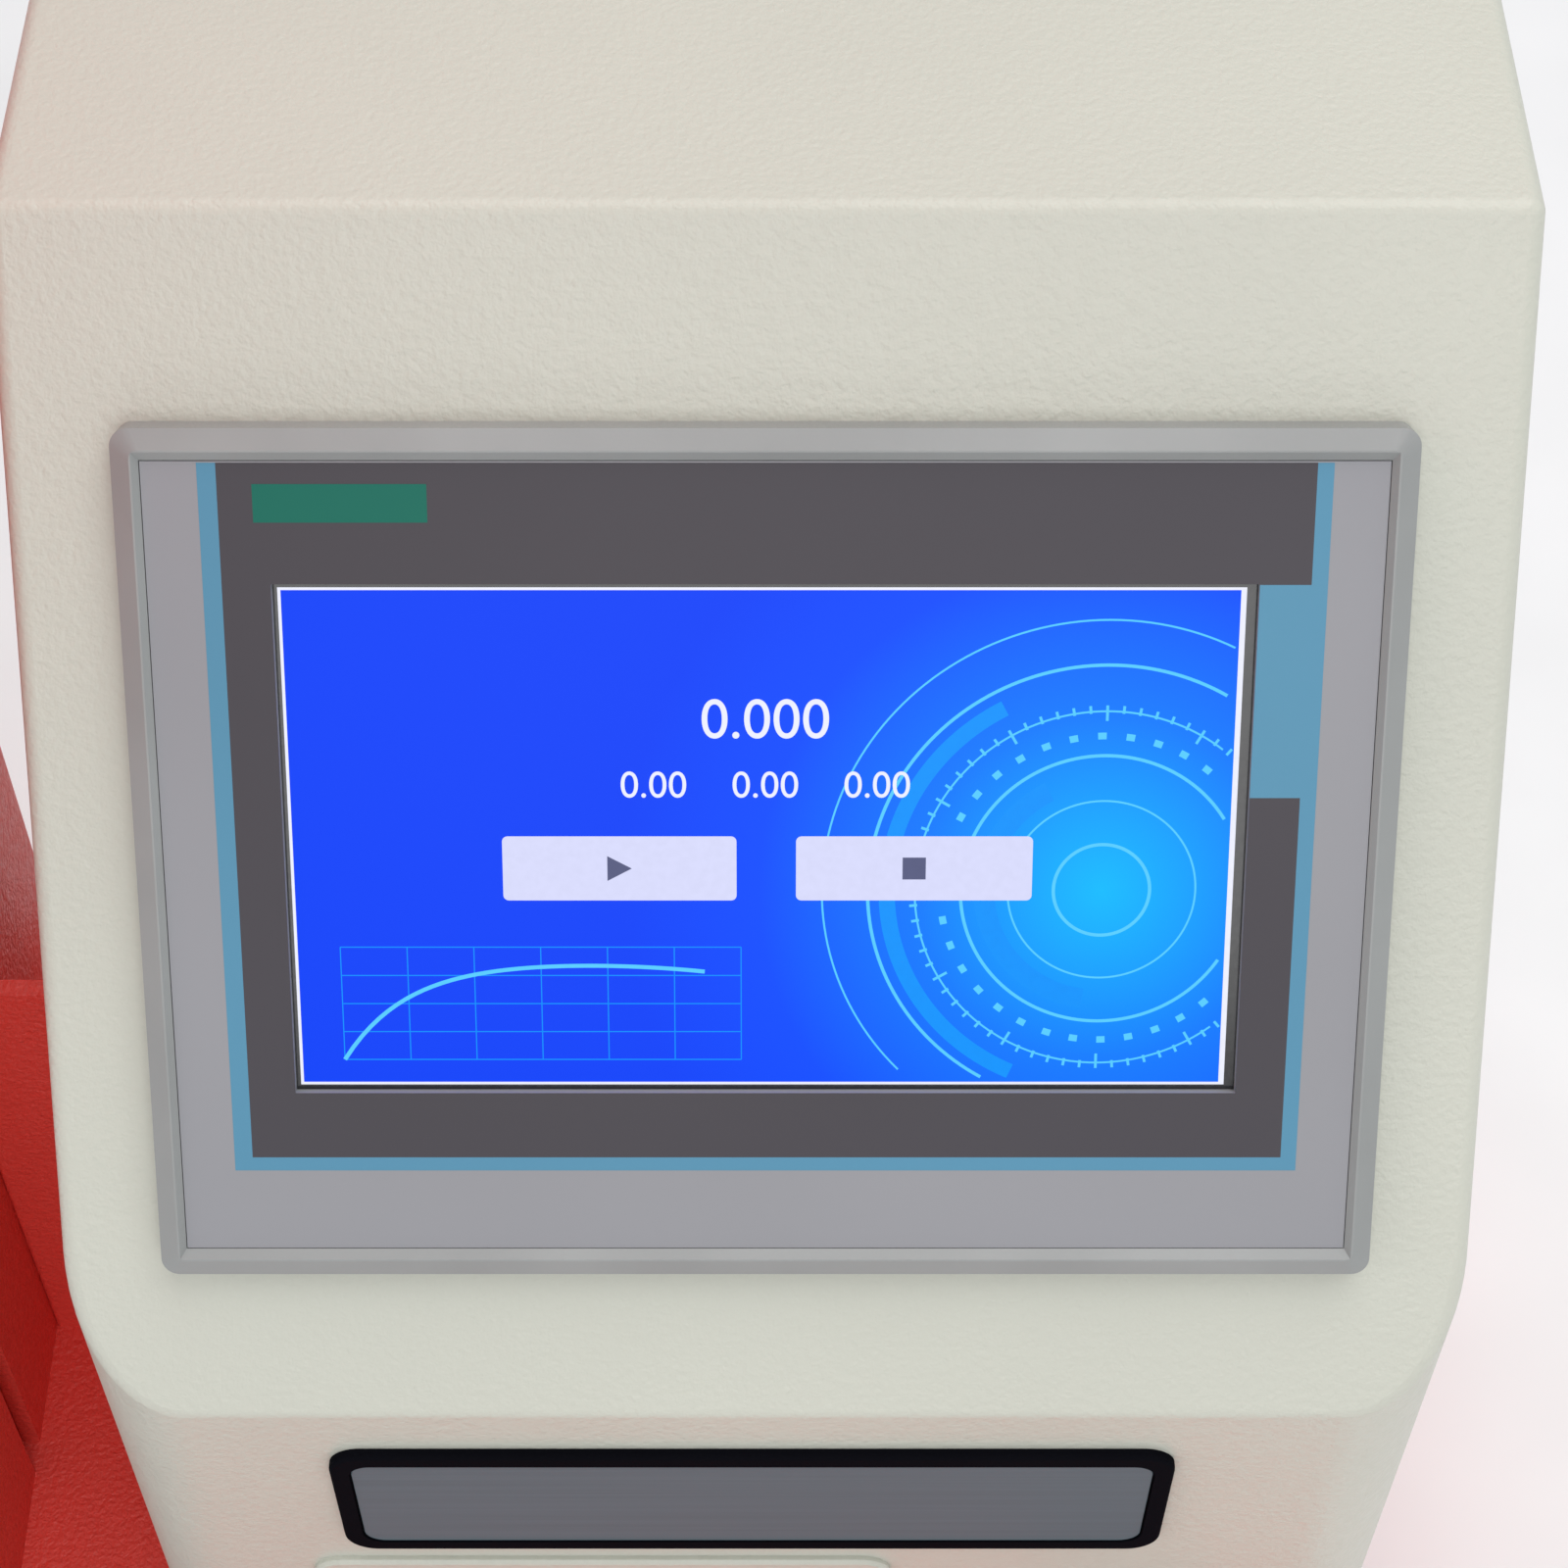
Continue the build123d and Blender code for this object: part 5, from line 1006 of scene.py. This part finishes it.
WHOLE_TURN = 359.999   # degrees of a ring that all but closes
SHAFT_INNER, SHAFT_OUTER, SHAFT_SWEEP = 6.9, 8.3, 100   # of the turning arrows
HEAD_OUTER, HEAD_MIDDLE, HEAD_INNER, HEAD_LENGTH = 9.9, 7.6, 5.3, 3.4
DISC_INNER, DISC_OUTER, DISC_THICKNESS = 15.3, 27, 0.5


class StopMarks(bpy.types.Operator):
    """Puts a plain yellow disc behind the emergency stop, and two turning arrows on its head."""

    bl_idname = "tester.stop_marks"
    bl_label = "Marks of the emergency stop"

    def execute(self, context):
        head = front_of("estop_head")
        arrows = []
        for start in (20, 200):
            arrows.append(arc_outline(0, 0, SHAFT_INNER, SHAFT_OUTER, start, start + SHAFT_SWEEP))
            tip = math.radians(start + SHAFT_SWEEP)
            along = Vector((-math.sin(tip), math.cos(tip)))
            out = Vector((math.cos(tip), math.sin(tip)))
            point = out * HEAD_MIDDLE + along * HEAD_LENGTH
            arrows.append([tuple(out * HEAD_OUTER), tuple(point), tuple(out * HEAD_INNER)])
        flat_pieces("estop_arrows", head, arrows, 0, INK, "mark", "stop_mushroom")
        shell_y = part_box("name_frame")[1][1]
        shell_face = Face((head.origin.x, shell_y, head.origin.z), RIGHT, UP)
        ring = arc_outline(0, 0, DISC_INNER, DISC_OUTER, 0, WHOLE_TURN, 5)
        builder = bmesh.new()
        add_outline(builder, shell_face, ring, 0, DISC_THICKNESS)
        finished("estop_disc", builder, "yellow", "root", 30)
        return {"FINISHED"}


ROCKER_WAIST = 0.5   # rocker's middle above the inlet's flange
ROCKER_RISE, ROCKER_HALF = 2.7, 8.5   # slope of its raised half
ROCKER_RING = (0, -4.5, 1.3, 1.8)   # middle, and radii
ROCKER_BAR = (-0.25, 0.25, 2.6, 6.0)   # left, right, bottom, top


class SwitchMarks(bpy.types.Operator):
    """Prints a bar and a ring on the power rocker."""

    bl_idname = "tester.switch_marks"
    bl_label = "Marks of the power switch"

    def execute(self, context):
        low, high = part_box("power_rocker")
        waist = ((low[0] + high[0]) / 2, mains_face.origin.y + ROCKER_WAIST * MM, mains_face.origin.z)
        flat = Face(waist, LEFT, UP)
        tilt = math.atan2(ROCKER_RISE, ROCKER_HALF)
        slope = Face(waist, LEFT, (0, math.sin(tilt), math.cos(tilt)))
        for name, face, outline in (
            ("rocker_ring", flat, arc_outline(*ROCKER_RING, 0, WHOLE_TURN, 10)),
            ("rocker_bar", slope, box_outline(*ROCKER_BAR)),
        ):
            flat_pieces(name, face, [outline], 0, INK, "mark", "rocker")
        return {"FINISHED"}


# Places of the screws on their faces: from the middle, from an edge, and the fan's plate above the panel
EDGE_INSET = 6
INLET_HOLE = 26.4
FAN_HOLE, FAN_PLATE = 25, 1.6
COVER_HOLE, COVER_END = 13, 15
BRACKET_HOLE, BRACKET_END = 6, 7


class PanelScrews(bpy.types.Operator):
    """Sets the small screws of the rear panel, mains inlet, fan, column cover and rod brackets."""

    bl_idname = "tester.panel_screws"
    bl_label = "Panel screws"

    def execute(self, context):
        head = context.scene.tester_screws.head_radius
        group = screw_tree("panel_screw_heads", "zinc")
        half = (rear_high[0] - rear_low[0]) / 2 / MM - EDGE_INSET
        top = (rear_high[2] - rear_low[2]) / MM - EDGE_INSET
        edge = [(side * half, v) for side in (-1, 1) for v in (EDGE_INSET, top / 3, top * 2 / 3, top)]
        edge += [(0, EDGE_INSET), (0, top)]
        screw_heads("rear_panel_screws", group, console_rear, edge, head, head * 0.7)
        pair = [(-INLET_HOLE, 0), (INLET_HOLE, 0)]
        screw_heads("inlet_screws", group, mains_face, pair, head * 0.68, head * 0.4)
        corners = [(u, v, FAN_PLATE) for u in (-FAN_HOLE, FAN_HOLE) for v in (-FAN_HOLE, FAN_HOLE)]
        screw_heads("fan_screws", group, fan_face, corners, head, head * 0.6)
        low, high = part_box("column_front_cover")
        cover = Face(((low[0] + high[0]) / 2, low[1], low[2]), RIGHT, UP)
        tall = (high[2] - low[2]) / MM
        places = [(u, v) for u in (-COVER_HOLE, COVER_HOLE) for v in (COVER_END, tall - COVER_END)]
        screw_heads("column_cover_screws", group, cover, places, head, head * 0.6)
        low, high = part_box("limit_rod")
        brackets = Face((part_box("column_profile")[0][0], low[1], low[2]), RIGHT, UP)
        tall = (high[2] - low[2]) / MM
        places = [(-BRACKET_HOLE, BRACKET_END), (-BRACKET_HOLE, tall - BRACKET_END)]
        screw_heads("rod_bracket_screws", group, brackets, places, head, head * 0.6)
        return {"FINISHED"}


TABLE_HOLE_X, TABLE_HOLE_Y = 62, 53
ADAPTER_HOLES, ADAPTER_CIRCLE, ADAPTER_FLANGE = 6, 28, 9
CAP_HOLE_X, CAP_HOLE_Y = 44, 64


class CapScrews(bpy.types.Operator):
    """Sets the socket screws of the table plate, the lower adapter and the column's cap."""

    bl_idname = "tester.cap_screws"
    bl_label = "Socket cap screws"

    def execute(self, context):
        cap = context.scene.tester_screws.cap_radius
        group = screw_tree("cap_screw_heads", "dark_steel")
        table = top_of("table_plate")
        places = [(-TABLE_HOLE_X, 0), (TABLE_HOLE_X, 0), (0, -TABLE_HOLE_Y), (0, TABLE_HOLE_Y)]
        screw_heads("table_screws", group, table, places, cap, cap * 0.6)
        ring = [(u, v, ADAPTER_FLANGE) for u, v in disc_outline(0, 0, ADAPTER_CIRCLE, ADAPTER_HOLES)]
        screw_heads("adapter_screws", group, table, ring, cap * 0.72, cap * 0.6)
        corners = [(u, v) for u in (-CAP_HOLE_X, CAP_HOLE_X) for v in (-CAP_HOLE_Y, CAP_HOLE_Y)]
        screw_heads("column_cap_screws", group, top_of("column_cap"), corners, cap * 0.6, cap * 0.32)
        return {"FINISHED"}


class FanGuard(bpy.types.Operator):
    """Sets a wire guard over the fan."""

    bl_idname = "tester.fan_guard"
    bl_label = "Fan guard"

    def execute(self, context):
        group = guard_tree("wire_guard", "ring")
        place = fan_face.matrix(0, 0, FAN_PLATE)
        grown("fan_guard", [(0, 0, 0)], group, "root", "plated_steel", place, 80)
        return {"FINISHED"}


class ClampThreads(bpy.types.Operator):
    """Puts threaded rods in the place of the two plain clamp screws."""

    bl_idname = "tester.clamp_threads"
    bl_label = "Clamp screws"

    def execute(self, context):
        group = thread_tree("threaded_rod", "turned")
        pitch = context.scene.tester_screws.clamp_pitch
        for prefix in ("upper", "lower"):
            node = prefix + "_clamp_screw"
            low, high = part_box(node)
            axis_face = Face((low[0], (low[1] + high[1]) / 2, (low[2] + high[2]) / 2), BACK, UP)
            piece = grown(
                prefix + "_clamp_thread", [(0, 0, 0)], group, prefix + "_clamp", "plated_steel",
                axis_face.matrix(), 20, Length=high[0] - low[0], Pitch=pitch,
            )
            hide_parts(node)
        return {"FINISHED"}


SOCKET_INSET = 11   # end of the pair to a socket's middle
INSULATOR_RADIUS, INSULATOR_BACK, INSULATOR_FACE = 6.4, -5.0, -4.75
PIN_COUNT, PIN_CIRCLE, PIN_RADIUS, PIN_END = 5, 3.6, 0.5, -0.5


class SocketInserts(bpy.types.Operator):
    """Puts an insulator with five pins in each signal socket."""

    bl_idname = "tester.socket_inserts"
    bl_label = "Socket inserts"

    def execute(self, context):
        low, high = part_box("signal_sockets")
        insulators, pins = bmesh.new(), bmesh.new()
        for x in (low[0] + SOCKET_INSET * MM, high[0] - SOCKET_INSET * MM):
            face = Face((x, rear_high[1], (low[2] + high[2]) / 2), LEFT, UP)
            disc = disc_outline(0, 0, INSULATOR_RADIUS)
            add_outline(insulators, face, disc, INSULATOR_BACK, INSULATOR_FACE)
            for u, v in disc_outline(0, 0, PIN_CIRCLE, PIN_COUNT):
                add_outline(pins, face, disc_outline(u, v, PIN_RADIUS, 10), INSULATOR_FACE, PIN_END)
        finished("socket_insulators", insulators, "black", "root", 30)
        finished("socket_pins", pins, "gold", "root", 40)
        return {"FINISHED"}


FLOOR_REACH, FLOOR_DROP = 6000, 0.2
SKY_COLOUR, SKY_STRENGTH = (0.90, 0.92, 0.95, 1), 0.54
SOFT_LIGHTS = {   # place, target, width and height, watts
    "ceiling": ((0.5, 0.2, 2.4), (0.05, 0.0, 0.4), (2.2, 1.8), 30),
    "front": ((0.3, -2.2, 1.5), (0.05, 0.0, 0.35), (1.8, 1.4), 16),
    "left": ((-2.1, -0.7, 1.5), (0.0, 0.0, 0.5), (1.2, 1.6), 8),
}
SENSOR_WIDTH, LENS, SHIFT_X = 36, 73.557, 0.0119
CAMERA_PLACE, CAMERA_TILT = (0.107, -0.29755, 0.7713), math.radians(36.90)


def soft_light(name, place, target, size, power):
    """Hangs a rectangular lamp that shines at a point."""
    lamp = bpy.data.lights.new(name, "AREA")
    lamp.shape = "RECTANGLE"
    lamp.size, lamp.size_y = size
    lamp.energy = power
    holder = bpy.data.objects.new(name, lamp)
    holder.location = place
    way = Vector(target) - Vector(place)
    holder.rotation_euler = way.to_track_quat("-Z", "Y").to_euler()
    bpy.context.scene.collection.objects.link(holder)


class SetStage(bpy.types.Operator):
    """Lays the floor, hangs the lights and sets the camera."""

    bl_idname = "tester.set_stage"
    bl_label = "Floor, lights and camera"

    def execute(self, context):
        scene = context.scene
        scene.view_settings.view_transform = "Standard"
        builder = bmesh.new()
        ground = Face((0, 0, 0), RIGHT, BACK)
        outline = box_outline(-FLOOR_REACH, FLOOR_REACH, -FLOOR_REACH, FLOOR_REACH)
        builder.faces.new([builder.verts.new(ground.at(u, v, -FLOOR_DROP)) for u, v in outline])
        mesh = bpy.data.meshes.new("floor")
        builder.to_mesh(mesh)
        builder.free()
        floor_piece = bpy.data.objects.new("floor", mesh)
        scene.collection.objects.link(floor_piece)
        mesh.materials.append(materials["floor"])
        world = bpy.data.worlds.new("studio")
        world.use_nodes = True
        sky = world.node_tree.nodes["Background"].inputs
        sky["Color"].default_value = SKY_COLOUR
        sky["Strength"].default_value = SKY_STRENGTH
        scene.world = world
        for name, values in SOFT_LIGHTS.items():
            soft_light(name, *values)
        camera = bpy.data.cameras.new("camera")
        camera.sensor_width = SENSOR_WIDTH
        camera.lens = LENS
        camera.shift_x = SHIFT_X
        holder = bpy.data.objects.new("camera", camera)
        holder.location = CAMERA_PLACE
        holder.rotation_euler = (CAMERA_TILT, 0, 0)
        scene.collection.objects.link(holder)
        scene.camera = holder
        return {"FINISHED"}


SETTINGS = {"tester_finish": TesterFinish, "tester_screen": TesterScreen, "tester_screws": TesterScrews}
OPERATORS = (
    DressFrame, PrintFilm, LightScreen, NamePlate, KeyMarks, StopMarks, SwitchMarks, PanelScrews, CapScrews,
    FanGuard, ClampThreads, SocketInserts, SetStage,
)


class TesterPanel(bpy.types.Panel):
    """Lists the tester's pieces in the sidebar."""

    bl_idname = "VIEW3D_PT_tester"
    bl_label = "Tensile tester"
    bl_space_type = "VIEW_3D"
    bl_region_type = "UI"
    bl_category = "Tester"

    def draw(self, context):
        layout = self.layout
        for group in SETTINGS:
            settings, box = getattr(context.scene, group), layout.box()
            for name in settings.bl_rna.properties.keys():
                if name not in ("rna_type", "name"):
                    box.prop(settings, name)
        for operator in OPERATORS:
            layout.operator(operator.bl_idname)


CLASSES = (*SETTINGS.values(), *OPERATORS, TesterPanel)


def register():
    """Registers the classes and hangs the settings on the scene."""
    for kind in CLASSES:
        bpy.utils.register_class(kind)
    for group, kind in SETTINGS.items():
        setattr(bpy.types.Scene, group, bpy.props.PointerProperty(type=kind))


def unregister():
    """Takes the settings off the scene and unregisters the classes."""
    for group in SETTINGS:
        delattr(bpy.types.Scene, group)
    for kind in reversed(CLASSES):
        bpy.utils.unregister_class(kind)


def main():
    """Builds every piece in order."""
    register()
    bpy.ops.tester.dress_frame()
    bpy.ops.tester.set_stage()
    bpy.ops.tester.print_film()
    bpy.ops.tester.light_screen()
    bpy.ops.tester.name_plate()
    bpy.ops.tester.key_marks()
    bpy.ops.tester.stop_marks()
    bpy.ops.tester.switch_marks()
    bpy.ops.tester.panel_screws()
    bpy.ops.tester.cap_screws()
    bpy.ops.tester.fan_guard()
    bpy.ops.tester.clamp_threads()
    bpy.ops.tester.socket_inserts()


if __name__ == "__main__":
    main()
